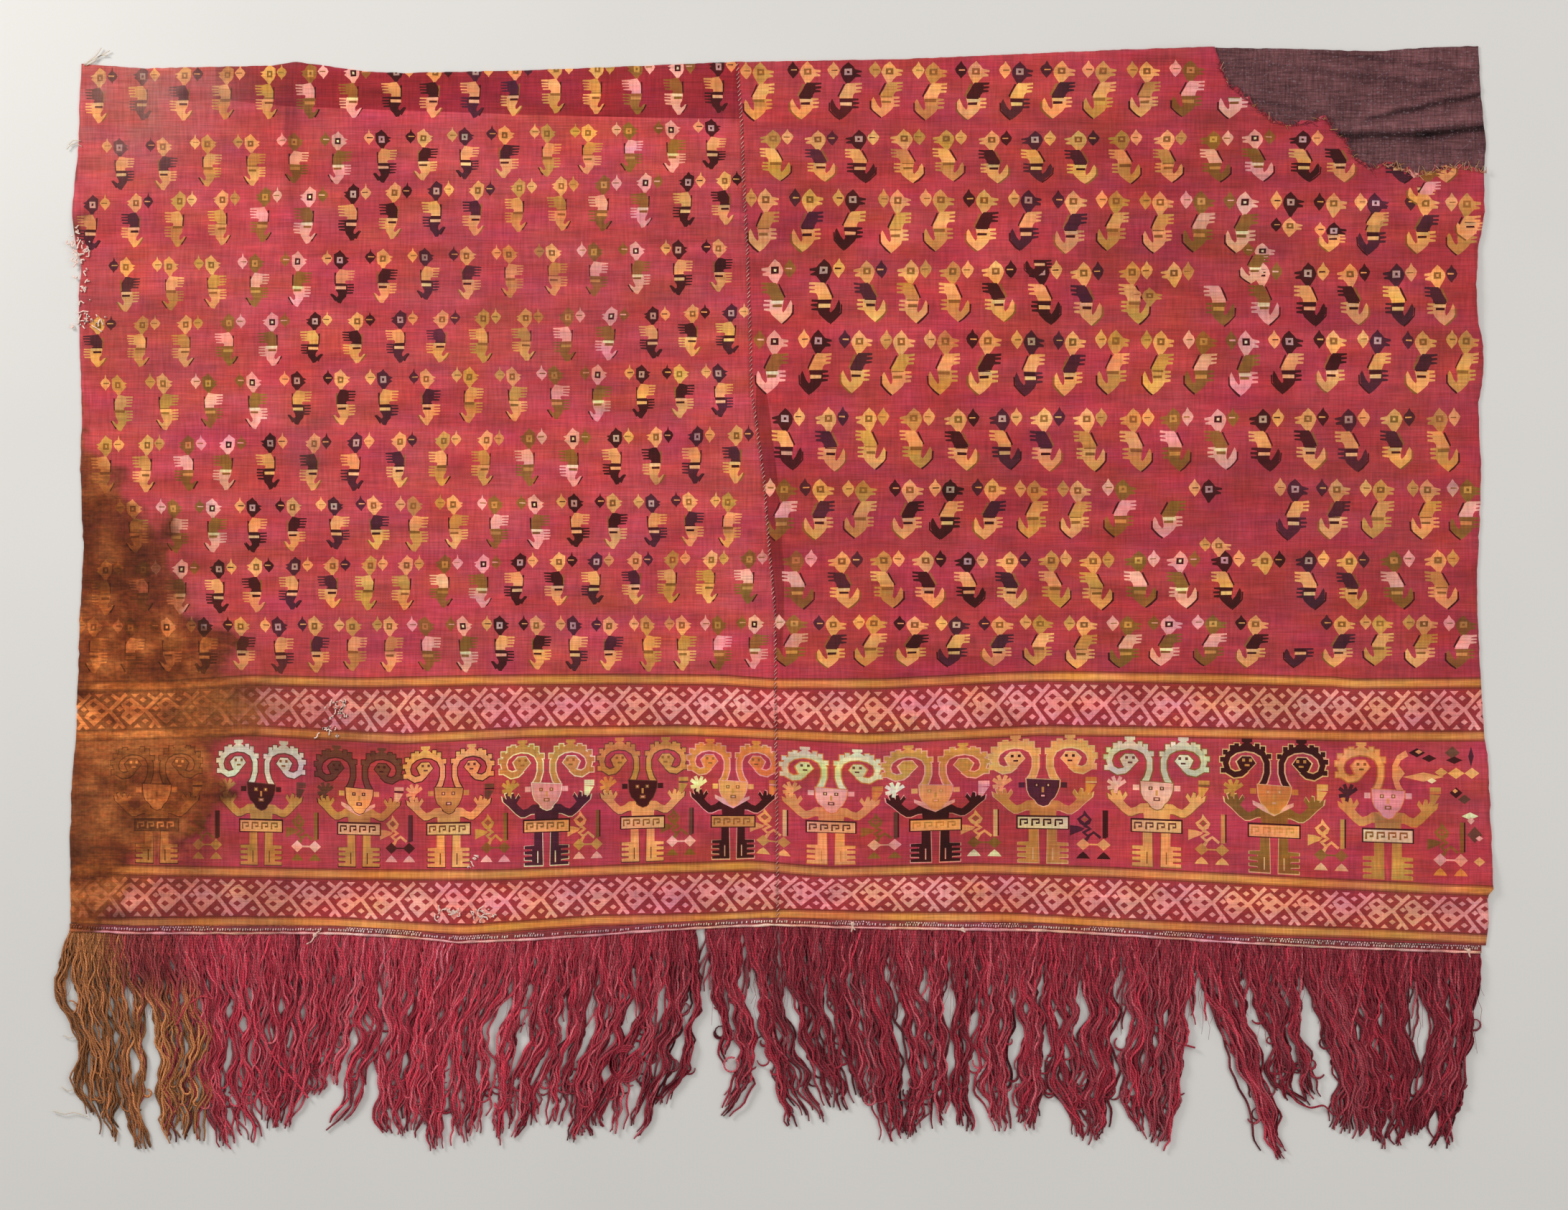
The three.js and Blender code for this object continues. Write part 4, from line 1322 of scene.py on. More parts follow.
@dataclass
class WovenDesign:
    """The woven design of both webs, put together from its charts."""

    bird: BirdChart = field(default_factory=BirdChart)
    figure: FigureChart = field(default_factory=FigureChart)
    staff_bird: StaffBirdChart = field(default_factory=StaffBirdChart)
    figure_span: Span = field(default_factory=lambda: Span(STRIPES[2], STRIPES[1], 132, 7.0))
    seed: int = 11

    def band(self, lower: Edge, upper: Edge, ends: tuple[float, float], yarn: Yarn) -> Patch:
        """Filled strip between two lines.

        Args:
            lower: its lower line.
            upper: its upper line.
            ends: its ends.
            yarn: its yarn.

        Returns:
            The patch.
        """
        x = np.arange(ends[0], ends[1] + 1, 12.0)
        low = np.stack([x, lower.at(x)], axis=1)
        high = np.stack([x, upper.at(x)], axis=1)
        return Patch(yarn, np.concatenate([low, high[::-1]]))

    def shifted(self, edge: Edge, rise: float) -> Edge:
        """The edge moved up by rise."""
        return Edge(edge.rows + np.array([0, rise]))

    def borders(self, ends: tuple[float, float]) -> list[Patch]:
        """Grounds of the bands, the lattices and the gold stripes with their olive edges.

        Args:
            ends: left and right end of the bands.

        Returns:
            The patches.
        """
        made = [self.band(STRIPES[1], STRIPES[0], ends, Yarn.GROUND_LATTICE),
                self.band(STRIPES[3], STRIPES[2], ends, Yarn.GROUND_LATTICE),
                self.band(STRIPES[2], STRIPES[1], ends, Yarn.GROUND_FIGURES)]
        for lower, upper in ((STRIPES[1], STRIPES[0]), (STRIPES[3], STRIPES[2])):
            made += LatticeBand(Span(lower, upper, 40, 5.9)).patches(ends[0] + 20, ends[1])
        for stripe in STRIPES:
            for half, yarn in ((STRIPE_HALF, Yarn.STRIPE_OLIVE), (STRIPE_MIDDLE, Yarn.STRIPE_MID),
                               (STRIPE_CORE, Yarn.STRIPE_GOLD)):
                made.append(self.band(self.shifted(stripe, -half), self.shifted(stripe, half), ends, yarn))
        return made

    def figures(self, side: int) -> list[Patch]:
        """Standing figures and the birds with staffs between them, on one side of the seam.

        Args:
            side: -1 left web, 1 right web.

        Returns:
            The patches.
        """
        made = []
        for x, *yarns in STAFF_BIRDS:
            if x * side >= 0:
                scale = self.staff_bird.narrow if x < 0 else 1.0
                made += [Patch(yarn, self.figure_span.place(points, x, scale))
                         for yarn, points in self.staff_bird.shapes(*yarns)]
        for x, wide, tall, colours in FIGURES:
            if x * side > 0:
                plumes = "left" if x == WORN_FIGURE else "both"
                made += [Patch(yarn, self.figure_span.place(points * (1, tall), x, wide))
                         for yarn, points in self.figure.shapes(colours, plumes)]
        if side > 0:
            made += [Patch(yarn, rhomb(*sizes)) for yarn, *sizes in END_PIECES]
        return made

    def left(self) -> list[Patch]:
        """All patches of the left web.

        Returns:
            The patches, lowest first.
        """
        rng = np.random.default_rng(self.seed)
        made = [Patch(Yarn.GROUND_DEEP, chart("-598,600 -598,541 -520,533 -400,529 -260,524 -120,521 "
                                              "-20,520 -20,600"))]
        repeat = len(LEFT_ORDER)
        for row, (first_g, next_g, first, last, low, high, rise, tall) in enumerate(LEFT_ROWS):
            pitch = (next_g - first_g) / repeat
            start = int(round((first - first_g) / pitch))
            end = int(round((last - first_g) / pitch))
            known = ((start, 0, repeat, end), (first, first_g, next_g, last))
            if end <= repeat:
                known = (known[0][:3], known[1][:3])
            for k in range(start, end + 1):
                x = np.interp(k, *known)
                y = low + (high - low) * (x - LEFT_SPAN[0]) / LEFT_SPAN[1]
                facing = -1 if row % 2 == 0 else 1
                made += self.bird.patches(LEFT_ORDER[k % repeat], (x, y + rise), facing,
                                          (LEFT_WIDE, tall), "", rng)
        return made + self.borders(LEFT_BORDERS) + self.figures(-1)

    def right(self) -> list[Patch]:
        """All patches of the right web.

        Returns:
            The patches, lowest first.
        """
        rng = np.random.default_rng(self.seed + 1)
        # A darker strip of ground beside the seam, over the raised tuck
        made = [Patch(Yarn.GROUND_TUCK, chart("-18,235 -20,150 -14,60 -4,-60 10,-60 12,30 6,120 -2,190 "
                                              "-8,235"))]
        for row, entries in enumerate(RIGHT_ROWS):
            low, high, rise, tall = (float(entry) for entry in entries[:4])
            for word in entries[4:]:
                parts = word[-1] if word[-1].isalpha() else ""
                x = float(word[1:].rstrip("htlb"))
                y = low + (high - low) * x / RIGHT_SPAN
                facing = 1 if row % 2 == 0 else -1
                made += LEANING_BIRD.patches(word[0], (x, y + rise), facing, (RIGHT_WIDE, tall),
                                             parts, rng)
        for letter, parts, x, y in CORNER_BIRDS:
            made += LEANING_BIRD.patches(letter, (float(x), float(y)), 1, CORNER_SCALE, parts, rng)
        return made + self.borders(RIGHT_BORDERS) + self.figures(1)


@dataclass
class CornerPatch:
    """Backing cloth under the torn corner: a creased sheet between its four edges."""

    columns: int = 104
    rows: int = 60

    def shell(self) -> Shell:
        """Closed sheet: a grid of shares across and up, turned to places between the edges by a few
        rounds of reading one pair of edges with the other's result.

        Returns:
            The shell.
        """
        u, v = np.meshgrid(np.linspace(0, 1, self.columns), np.linspace(0, 1, self.rows))
        x = PATCH_LEFT + (PATCH_REACH - PATCH_LEFT) * u
        y = np.zeros_like(x)
        for _ in range(4):
            y = PATCH_BOTTOM + (TOP_PATCH.at(x) - PATCH_BOTTOM) * v
            x = PATCH_LEFT + (PATCH_RIGHT.at(y) - PATCH_LEFT) * u
        x = x + 1.4 * (soft_noise(x, y, (8, 8), 41) - 0.5) * (u > 0.999)
        y = y + 1.4 * (soft_noise(x, y, (8, 8), 42) - 0.5) * (v > 0.999)
        under = fold_height(PATCH_FOLDS, x, y)
        crumple = 0.5 * (soft_noise(x, y, (34, 12), 43) - 0.5) * smoothstep(y, 480, 520)
        # Soft bands of lighter and darker tone, then painted shade along each crease with a painted highlight
        # just beside it
        shade = 1.12 - 0.24 * soft_noise(x, y, (50, 9), 44)
        for x0, y0, x1, y1, half, deep in CREASES:
            run = np.array([x1 - x0, y1 - y0]) / np.hypot(x1 - x0, y1 - y0)
            along = (x - x0) * run[0] + (y - y0) * run[1]
            past = np.maximum(0, np.maximum(-along, along - np.hypot(x1 - x0, y1 - y0)))
            off = (y - y0) * run[0] - (x - x0) * run[1] + 2.4 * (soft_noise(x, y, (16, 16), 45) - 0.5)
            shade *= 1 - deep * np.exp(-(off / half) ** 2 - (past / 9) ** 2)
            shade *= 1 + 0.5 * deep * np.exp(-((off - 1.8 * half) / half) ** 2 - (past / 9) ** 2)
            crumple += 1.2 * deep * np.exp(-((off - 1.4 * half) / half) ** 2 - (past / 9) ** 2)
        tint = np.clip(np.repeat(shade[..., None], 3, axis=2) * 0.8, 0, 1)
        return closed_sheet(np.stack([x, y, under], axis=-1), PATCH_THICK + crumple, tint)

    def build(self, finish: OpenPlainWeave) -> None:
        """Args:
            finish: the backing cloth.
        """
        piece = add_piece("corner_backing", self.shell(), finish.build(),
                          ["corner_patch"], "OFBake")


def closed_sheet(grid: Array, thick: Array | float, colours: Array) -> Shell:
    """A sheet with an upper and a lower face and a rim.

    Args:
        grid: rows and columns of underside places.
        thick: thickness, one number or one for each place.
        colours: linear colour at each place of the grid.

    Returns:
        The shell. Its upper face is the grid raised by the thickness.
    """
    rows, columns, _ = grid.shape
    count = rows * columns
    upper = grid.copy()
    upper[..., 2] += thick
    points = np.concatenate([grid.reshape(-1, 3), upper.reshape(-1, 3)])
    index = np.arange(count).reshape(rows, columns)
    a, b, c, d = index[:-1, :-1], index[:-1, 1:], index[1:, 1:], index[1:, :-1]
    faces = np.stack([a, b, c, d], axis=-1).reshape(-1, 4)
    loop = np.concatenate([index[0, :-1], index[:-1, -1], index[-1, :0:-1], index[:0:-1, 0]])
    after = np.roll(loop, -1)
    rim = np.stack([loop, after, after + count, loop + count], axis=1)
    groups = [faces + count, faces[:, ::-1], rim]
    corners = np.concatenate([group.ravel() for group in groups])
    tint = colours.reshape(-1, 3)
    low = points[:, :2].min(axis=0) - 2
    size = np.ptp(points[:, :2], axis=0).max() + 4
    return Shell(points, groups, np.tile(tint, (2, 1))[corners], (points[corners, :2] - low) / size)


def tubes(paths: Array, radii: Array, sides: int, colours: Array, ply_mm: float = 6.0) -> Shell:
    """Closed tubes along many paths at once.

    Each ring is the path's point plus the radius times the cosine of the ring's angle along the
    level sideways direction and the sine along up.

    Args:
        paths: strands, steps and x, y, z.
        radii: strands and steps.
        sides: sides of a ring.
        colours: linear colour for each strand, or for each strand and step.
        ply_mm: length of one turn of the plies.

    Returns:
        The shell of all the strands.
    """
    count, steps, _ = paths.shape
    run = np.gradient(paths, axis=1)
    side = np.stack([-run[..., 1], run[..., 0], np.zeros(run.shape[:2])], axis=-1)
    side /= np.maximum(np.linalg.norm(side, axis=-1, keepdims=True), 1e-6)
    angle = np.linspace(0, 2 * np.pi, sides, endpoint=False) + np.pi / sides
    ring = (side[:, :, None] * np.cos(angle)[:, None] + np.array([0, 0, 1.0]) * np.sin(angle)[:, None])
    points = paths[:, :, None] + radii[:, :, None, None] * ring
    index = np.arange(count * steps * sides).reshape(count, steps, sides)
    around = np.roll(index, -1, axis=2)
    walls = np.stack([index[:, :-1], around[:, :-1], around[:, 1:], index[:, 1:]], axis=-1)
    caps = np.concatenate([index[:, 0, ::-1], index[:, -1]])
    step_mm = np.linalg.norm(np.diff(paths, axis=1), axis=-1)
    along = np.concatenate([np.zeros((count, 1)), np.cumsum(step_mm, axis=1)], axis=1) / ply_mm
    turn = np.arange(sides + 1) / sides
    near, far = along[:, :-1, None], along[:, 1:, None]
    u0, u1 = turn[None, None, :-1], turn[None, None, 1:]
    shape = (count, steps - 1, sides)
    uv = np.stack([np.stack(np.broadcast_arrays(u, v, np.empty(shape))[:2], axis=-1)
                   for u, v in ((u0, near), (u1, near), (u1, far), (u0, far))], axis=-2)
    uv = np.concatenate([uv.reshape(-1, 2), np.zeros((caps.size, 2))])
    tint = np.broadcast_to(colours[:, None] if colours.ndim == 2 else colours, (count, steps, 3))
    tint = np.repeat(tint[:, :, None], sides, axis=2).reshape(-1, 3)
    groups = [walls.reshape(-1, 4), caps]
    corners = np.concatenate([group.ravel() for group in groups])
    return Shell(points.reshape(-1, 3), groups, tint[corners], uv)


def joined(shells: list[Shell]) -> Shell:
    """Several shells as one. Corners are gathered group by group, as the faces are.

    Args:
        shells: the shells.

    Returns:
        One shell.
    """
    faces, colours, uv, offset = [], [], [], 0
    for shell in shells:
        faces += [group + offset for group in shell.faces]
        colours.append(shell.colours)
        uv.append(shell.uv)
        offset += len(shell.points)
    return Shell(np.concatenate([shell.points for shell in shells]), faces, np.concatenate(colours),
                 np.concatenate(uv))


def smooth_line(points: Array, steps: int) -> Array:
    """A smooth line through points: straight runs by length, then rounded by a moving average.

    Args:
        points: the line.
        steps: how many points it gets.

    Returns:
        The smooth line.
    """
    length = np.concatenate([[0], np.cumsum(np.linalg.norm(np.diff(points, axis=0), axis=1))])
    at = np.linspace(0, length[-1], steps)
    line = np.stack([np.interp(at, length, points[:, k]) for k in range(points.shape[1])], axis=1)
    for _ in range(3):
        line[1:-1] = (line[:-2] + 2 * line[1:-1] + line[2:]) / 4
    return line


# Clumps of fringe from left to right: left and right side at the root on the cord line, at the
# three levels below, and at the end, then the height of the end.
LEVELS = (-405.0, -460.0, -515.0)
CLUMPS = table("""
-754 -743 -772 -760 -749 -739 -746 -733 -735 -730 -550
-743 -723 -754 -719 -738 -706 -731 -704 -719 -704 -577
-723 -696 -711 -680 -704 -666 -701 -673 -680 -664 -585
-696 -656 -677 -640 -661 -631 -656 -639 -653 -640 -579
-656 -635 -635 -619 -627 -611 -636 -616 -637 -621 -579
-635 -597 -616 -587 -609 -584 -611 -592 -592 -574 -585
-597 -571 -584 -563 -579 -558 -582 -558 -571 -547 -578
-571 -531 -562 -529 -558 -529 -555 -534 -544 -531 -563
-531 -486 -529 -483 -527 -494 -532 -497 -529 -515 -563
-486 -441 -483 -441 -493 -452 -495 -465 -502 -483 -529
-441 -417 -440 -422 -449 -420 -457 -436 -472 -468 -565
-417 -377 -414 -385 -417 -391 -425 -396 -420 -396 -571
-377 -337 -382 -350 -386 -364 -394 -369 -393 -382 -573
-337 -311 -348 -326 -362 -345 -368 -356 -368 -361 -587
-311 -271 -324 -276 -341 -308 -348 -300 -338 -321 -578
-271 -250 -273 -260 -292 -276 -296 -284 -300 -292 -581
-250 -212 -258 -218 -260 -228 -281 -244 -285 -260 -573
-212 -186 -215 -191 -223 -202 -242 -215 -244 -228 -563
-186 -149 -186 -151 -194 -159 -212 -186 -215 -202 -578
-149 -117 -144 -120 -149 -128 -181 -159 -189 -165 -569
-117 -93 -114 -88 -122 -104 -151 -114 -151 -144 -574
-93 -84 -85 -76 -90 -84 -109 -96 -125 -117 -537
-73 -61 -63 -53 -55 -48 -53 -45 -53 -45 -494
-61 -35 -51 -37 -35 -23 -39 -23 -64 -51 -550
-35 -13 -16 -8 -12 3 1 21 16 37 -561
-13 5 -6 3 5 24 24 44 40 64 -559
5 48 16 51 29 64 48 74 64 80 -545
48 88 59 80 66 96 80 104 88 104 -537
88 125 85 119 101 135 109 137 123 138 -577
125 159 135 159 143 167 151 170 143 151 -574
159 188 166 182 170 184 173 188 170 188 -563
188 220 194 220 191 212 191 212 194 215 -566
220 255 223 257 218 255 220 252 234 255 -566
255 292 260 281 268 289 263 287 260 281 -565
292 326 292 324 295 324 300 329 329 340 -574
326 369 334 369 332 363 334 362 340 344 -581
369 411 382 411 381 409 369 403 395 409 -577
411 453 413 447 410 441 405 437 408 417 -587
454 497 459 499 482 516 510 526 542 548 -598
497 536 510 542 531 551 538 555 558 573 -542
536 558 546 562 558 564 568 579 575 580 -534
558 605 569 605 592 626 609 637 600 626 -574
605 640 608 642 629 653 640 661 645 661 -585
640 677 646 676 658 682 666 687 664 674 -582
677 717 690 719 709 727 695 714 680 703 -571
717 758 722 756 729 747 715 738 709 726 -586""")


# Brightness of the fringe from left to right, as place and share
FRINGE_TONE = Edge(chart("""
-750,0.84 -600,0.96 -350,1.1 -250,0.94 -100,0.64 60,0.58 160,0.74 280,0.72 400,0.64 640,0.56 760,0.5"""))


@dataclass
class Fringe:
    """Plied fringe yarns. They leave the heading side by side, kinked and matted, and gather into
    locks of uneven width; a cover of short broken yarns closes the gaps near the heading."""

    lock_pitch: float = 13.0
    yarns_per_lock: int = 13
    radius: float = 1.55
    rise: float = 5.1
    crimson: str = "#F04C60"
    deep: str = "#A82C3E"
    rose: str = "#F2808A"
    tan: str = "#E8975E"
    maroon: str = "#8A4638"
    steps: int = 42
    seed: int = 51

    def yarn_colours(self, x: Array, rng: Random) -> Array:
        """Crimson yarns of uneven dye, tan at the stained left end and maroon beside it.

        Args:
            x: where the yarns leave the heading.
            rng: the seeded source.

        Returns:
            A colour for each yarn.
        """
        count = len(x)
        crimson, deep, rose = (linear(code) for code in (self.crimson, self.deep, self.rose))
        share = rng.random((count, 1))
        colour = deep + (crimson - deep) * (0.25 + 0.75 * share)
        colour += (rose - colour) * (rng.random((count, 1)) ** 3) * 0.8
        tan = linear(self.tan) * (0.5 + 0.7 * rng.random((count, 1)))
        maroon = linear(self.maroon) * (0.7 + 0.6 * rng.random((count, 1)))
        tan_share = (1 - smoothstep(x + 24 * (rng.random(count) - 0.5), -718, -696))[:, None]
        maroon_share = (1 - smoothstep(x + 30 * (rng.random(count) - 0.5), -670, -600))[:, None] * 0.6
        colour += (maroon - colour) * maroon_share
        colour += (tan - colour) * tan_share
        uneven = rng.uniform(0.62, 1.34, count)
        return np.clip(colour * (uneven * FRINGE_TONE.at(x))[:, None], 0, 1)

    def kinks(self, y: Array, t: Array, rng: Random) -> Array:
        """Sideways wander of single yarns: a short and a long wave of their own.

        Args:
            y: heights along the yarns.
            t: shares of their length.
            rng: the seeded source.

        Returns:
            The shift along x.
        """
        count = len(y)
        total = np.zeros_like(y)
        for low, high, small, large in ((13, 24, 0.3, 1.0), (30, 64, 0.8, 2.8)):
            turns = y / rng.uniform(low, high, (count, 1)) + rng.random((count, 1))
            total += np.sin(2 * np.pi * turns) * rng.uniform(small, large, (count, 1))
        return total * smoothstep(t, 0.0, 0.16)

    def curled(self, paths: Array, rng: Random) -> Array:
        """Lets the ends of some yarns run round in an arc, to either side.

        Args:
            paths: the yarns.
            rng: the seeded source.

        Returns:
            The yarns.
        """
        last = 9
        chosen = np.flatnonzero(rng.random(len(paths)) < 0.28)
        start = paths[chosen, -last, None]
        radius = rng.uniform(3.0, 8.0, (len(chosen), 1))
        side = rng.choice((-1.0, 1.0), (len(chosen), 1))
        angle = np.linspace(0, 1, last)[None] * np.radians(rng.uniform(110, 290, (len(chosen), 1)))
        paths[chosen, -last:, 0] = start[..., 0] + side * radius * (1 - np.cos(angle))
        paths[chosen, -last:, 1] = start[..., 1] - radius * np.sin(angle)
        return paths

    def clump(self, row: Array, rng: Random) -> tuple[Array, Array, Array]:
        """Yarns of one clump.

        Each yarn keeps its share of the clump's width through the levels; the yarns of a lock draw
        together on the way down, and the lock's and each yarn's own wander are added.

        Args:
            row: the clump's row of the table.
            rng: the seeded source of the differences.

        Returns:
            Paths, radii and colours.
        """
        root0, root1, *sides, tip = row
        locks = max(1, int(round((root1 - root0) / self.lock_pitch)))
        lock = np.repeat(np.arange(locks), self.yarns_per_lock)
        count = len(lock)
        offset = (np.tile(np.arange(self.yarns_per_lock) + 0.5, locks) / self.yarns_per_lock
                  + rng.uniform(-0.08, 0.08, count) - 0.5)
        centre = (lock + 0.5) / locks
        root_x = root0 + (root1 - root0) * (centre + offset / locks)
        root_y = CORD_LINE.at(root_x) + 2.5
        short = np.minimum(rng.exponential(13, count), 60) + rng.uniform(0, 16, locks)[lock]
        broken = rng.random(count) < 0.16
        short -= short.min()
        short[broken] += rng.uniform(0.15, 0.6, broken.sum()) * (CORD_LINE.at(root0) - tip)
        t = np.linspace(0, 1, self.steps)[None]
        y = root_y[:, None] + (tip + np.minimum(short, 150) - root_y)[:, None] * t
        levels = [(tip, sides[6], sides[7]), (LEVELS[2], sides[4], sides[5]),
                  (LEVELS[1], sides[2], sides[3]), (LEVELS[0], sides[0], sides[1]),
                  (float(CORD_LINE.at((root0 + root1) / 2)), root0, root1)]
        levels = np.array([level for k, level in enumerate(levels) if k == 0 or level[0] > tip + 8])
        left = np.interp(y, levels[:, 0], levels[:, 1])
        right = np.interp(y, levels[:, 0], levels[:, 2])
        down = root_y[:, None] - y
        gather = 1 - smoothstep(down, 30, 170) * rng.uniform(0.25, 0.75, locks)[lock][:, None]
        share = centre[:, None] + offset[:, None] / locks * gather
        x = left + (right - left) * share
        for low, high, small, large in ((46, 90, 1.5, 4.6), (22, 40, 0.3, 1.5)):
            turns = y / rng.uniform(low, high, locks)[lock][:, None] + rng.random(locks)[lock][:, None]
            x += (np.sin(2 * np.pi * turns) * rng.uniform(small, large, locks)[lock][:, None]
                  * smoothstep(down, 15, 80))
        x += self.kinks(y, t, rng)
        drift = rng.normal(0, 3.4, count) + (rng.random(count) < 0.05) * rng.normal(0, 11, count)
        x += drift[:, None] * smoothstep(down, 20, 190)
        layer = rng.random((count, 1))
        layer = np.clip(layer + 0.3 * np.sin(2 * np.pi * (y / 57 + rng.random((count, 1)))), 0, 1)
        room = 2.4 + (self.rise - 2.4) * smoothstep(down, 0, 30) - 1.8 * smoothstep(t, 0.8, 1)
        radii = self.radius * rng.uniform(0.75, 1.15, (count, 1)) * (1 - 0.4 * smoothstep(t, 0.9, 1))
        radii = radii * (0.5 + 0.5 * smoothstep(down, 1, 9))
        z = radii + layer * np.maximum(room - 2 * radii, 0)
        colours = self.yarn_colours(root_x, rng) * rng.uniform(0.86, 1.1, locks)[lock][:, None]
        colours = np.repeat(colours[:, None], self.steps, axis=1)
        faded = (root_x > -716) & (root_x < -636) & (rng.random(count) < 0.82)
        tan = linear(self.tan) * rng.uniform(0.55, 1.15, (count, 1))
        share = (faded[:, None] * smoothstep(down, 40, 95))[..., None]
        # Painted shade: yarns that lie lower in the lock are darker, less so further down where they lie
        # looser
        loose = 0.6 * smoothstep(down, 30, 130)
        shade = (0.28 + 0.92 * layer) * (1 - loose) + (0.48 + 0.48 * layer) * loose
        colours = (colours + (tan[:, None] - colours) * share) * shade[..., None]
        paths = self.curled(np.stack([x, y, z], axis=-1), rng)
        paths[..., 0] = np.clip(paths[..., 0], *FRINGE_SIDES)
        paths[..., 1] = np.maximum(paths[..., 1], FRINGE_FOOT)
        return paths, radii, colours

    def cover(self, x0: float, x1: float, rng: Random) -> Shell:
        """Short yarns over and between the locks next to the heading, slanting to the left.

        Args:
            x0: left end.
            x1: right end.
            rng: the seeded source.

        Returns:
            The shell.
        """
        count = int((x1 - x0) * 0.7)
        x = rng.uniform(x0 + 1, x1 - 1, count)
        x = x[(x < -84) | (x > -72)]
        count = len(x)
        t = np.linspace(0, 1, 17)[None]
        length = np.minimum(26 + rng.exponential(24, count), 105)[:, None]
        y = CORD_LINE.at(x)[:, None] + 2.5 - length * t
        lean = rng.normal(-0.07, 0.13, (count, 1)) * (1 - smoothstep(x, 700, 740) * 0.8)[:, None]
        path_x = x[:, None] + lean * length * t + 0.9 * self.kinks(y, t, rng)
        radii = self.radius * rng.uniform(0.7, 1.05, (count, 1)) * (1 - 0.4 * smoothstep(t, 0.8, 1))
        radii = radii * (0.5 + 0.5 * smoothstep(length * t, 1, 9))
        depth = rng.random((count, 1))
        z = radii + 0.2 + depth * (1.7 * smoothstep(length * t, 0, 24) + 0.2)
        # Painted shade: yarns that lie deeper are darker
        colours = self.yarn_colours(x, rng)[:, None] * (0.54 + 0.84 * depth)[..., None]
        colours = np.repeat(colours, 17, axis=1)
        return tubes(np.stack([path_x, y, z], axis=-1), radii, 3, colours)

    def hairs(self, x0: float, x1: float, rng: Random) -> Shell:
        """Thin loose fibres over the top of the fringe, leaning to either side.

        Args:
            x0: left end.
            x1: right end.
            rng: the seeded source.

        Returns:
            The shell.
        """
        count = int((x1 - x0) * 0.5)
        x = rng.uniform(x0, x1, count)
        x = x[(x < -82) | (x > -73)]
        count = len(x)
        t = np.linspace(0, 1, 9)[None]
        length = rng.uniform(18, 110, count)[:, None]
        y = CORD_LINE.at(x)[:, None] - 1 - length * t
        lean = rng.normal(-2, 9, count)[:, None]
        path_x = x[:, None] + lean * t + rng.uniform(0.5, 2.2, count)[:, None] * np.sin(
            2 * np.pi * (y / rng.uniform(18, 40, count)[:, None] + rng.random(count)[:, None]))
        z = 2.6 + 2.2 * smoothstep(t, 0, 0.3) * rng.uniform(0.6, 1, count)[:, None]
        radii = np.full((count, 9), 0.4) * (1 - 0.5 * t)
        return tubes(np.stack([path_x, y, z], axis=-1), radii, 3, self.yarn_colours(x, rng))

    def singles(self, x0: float, x1: float) -> Shell | None:
        """Yarns that lie apart from the locks: a ring, a curl, cross strands and a spindle tip.

        Args:
            x0: left end.
            x1: right end.

        Returns:
            The shell, or None where there are none.
        """
        turn = np.radians(np.linspace(60, 410, 30))
        lines = [line for line in (
            *(np.array([-167 + 0.5 * r, -493]) + r * np.stack([np.cos(turn), 1.1 * np.sin(turn)], axis=1)
              for r in (12.5, 14.5, 16.5, 18.5)),
            np.array([-45, -494]) + 8 * np.stack([np.cos(turn), np.sin(turn)], axis=1),
            chart("552,-520 560,-534 576,-541 590,-537 600,-548"),
            chart("568,-470 574,-497 566,-515 579,-531"),
            chart("-640,-452 -628,-430 -612,-420 -600,-424"),
            chart("-545,-470 -530,-494 -510,-514 -498,-530"), chart("395,-440 412,-452 430,-470 452,-476"),
        ) if x0 <= line[0, 0] < x1]
        if not lines:
            return None
        paths = np.array([smooth_line(np.column_stack([line, np.full(len(line), 3.6)]), 30)
                          for line in lines])
        colours = self.yarn_colours(paths[:, 0, 0], np.random.default_rng(58))
        return tubes(paths, np.full(paths.shape[:2], 1.3), 4, colours)

    def build(self, finish: PliedYarn) -> None:
        """Makes the fringe in four lengths, each of whole clumps.

        Args:
            finish: the fringe's yarn.
        """
        material = finish.build()
        rng = np.random.default_rng(self.seed)
        ends = (-760, -377, -5, 369, 770)
        for k, name in enumerate(("far_left", "left", "right", "far_right")):
            rows = [row for row in CLUMPS if ends[k] <= row[0] < ends[k + 1]]
            x0, x1 = rows[0][0], rows[-1][1]
            clumps = [self.clump(row, rng) for row in rows]
            paths, radii, colours = (np.concatenate(part) for part in zip(*clumps))
            parts = [tubes(paths, radii, 3, colours), self.cover(x0, x1, rng), self.hairs(x0, x1, rng),
                     self.singles(x0, x1)]
            shell = joined([part for part in parts if part])
            add_piece(f"fringe_yarn_{name}", shell, material, ["fringe"], "ply")


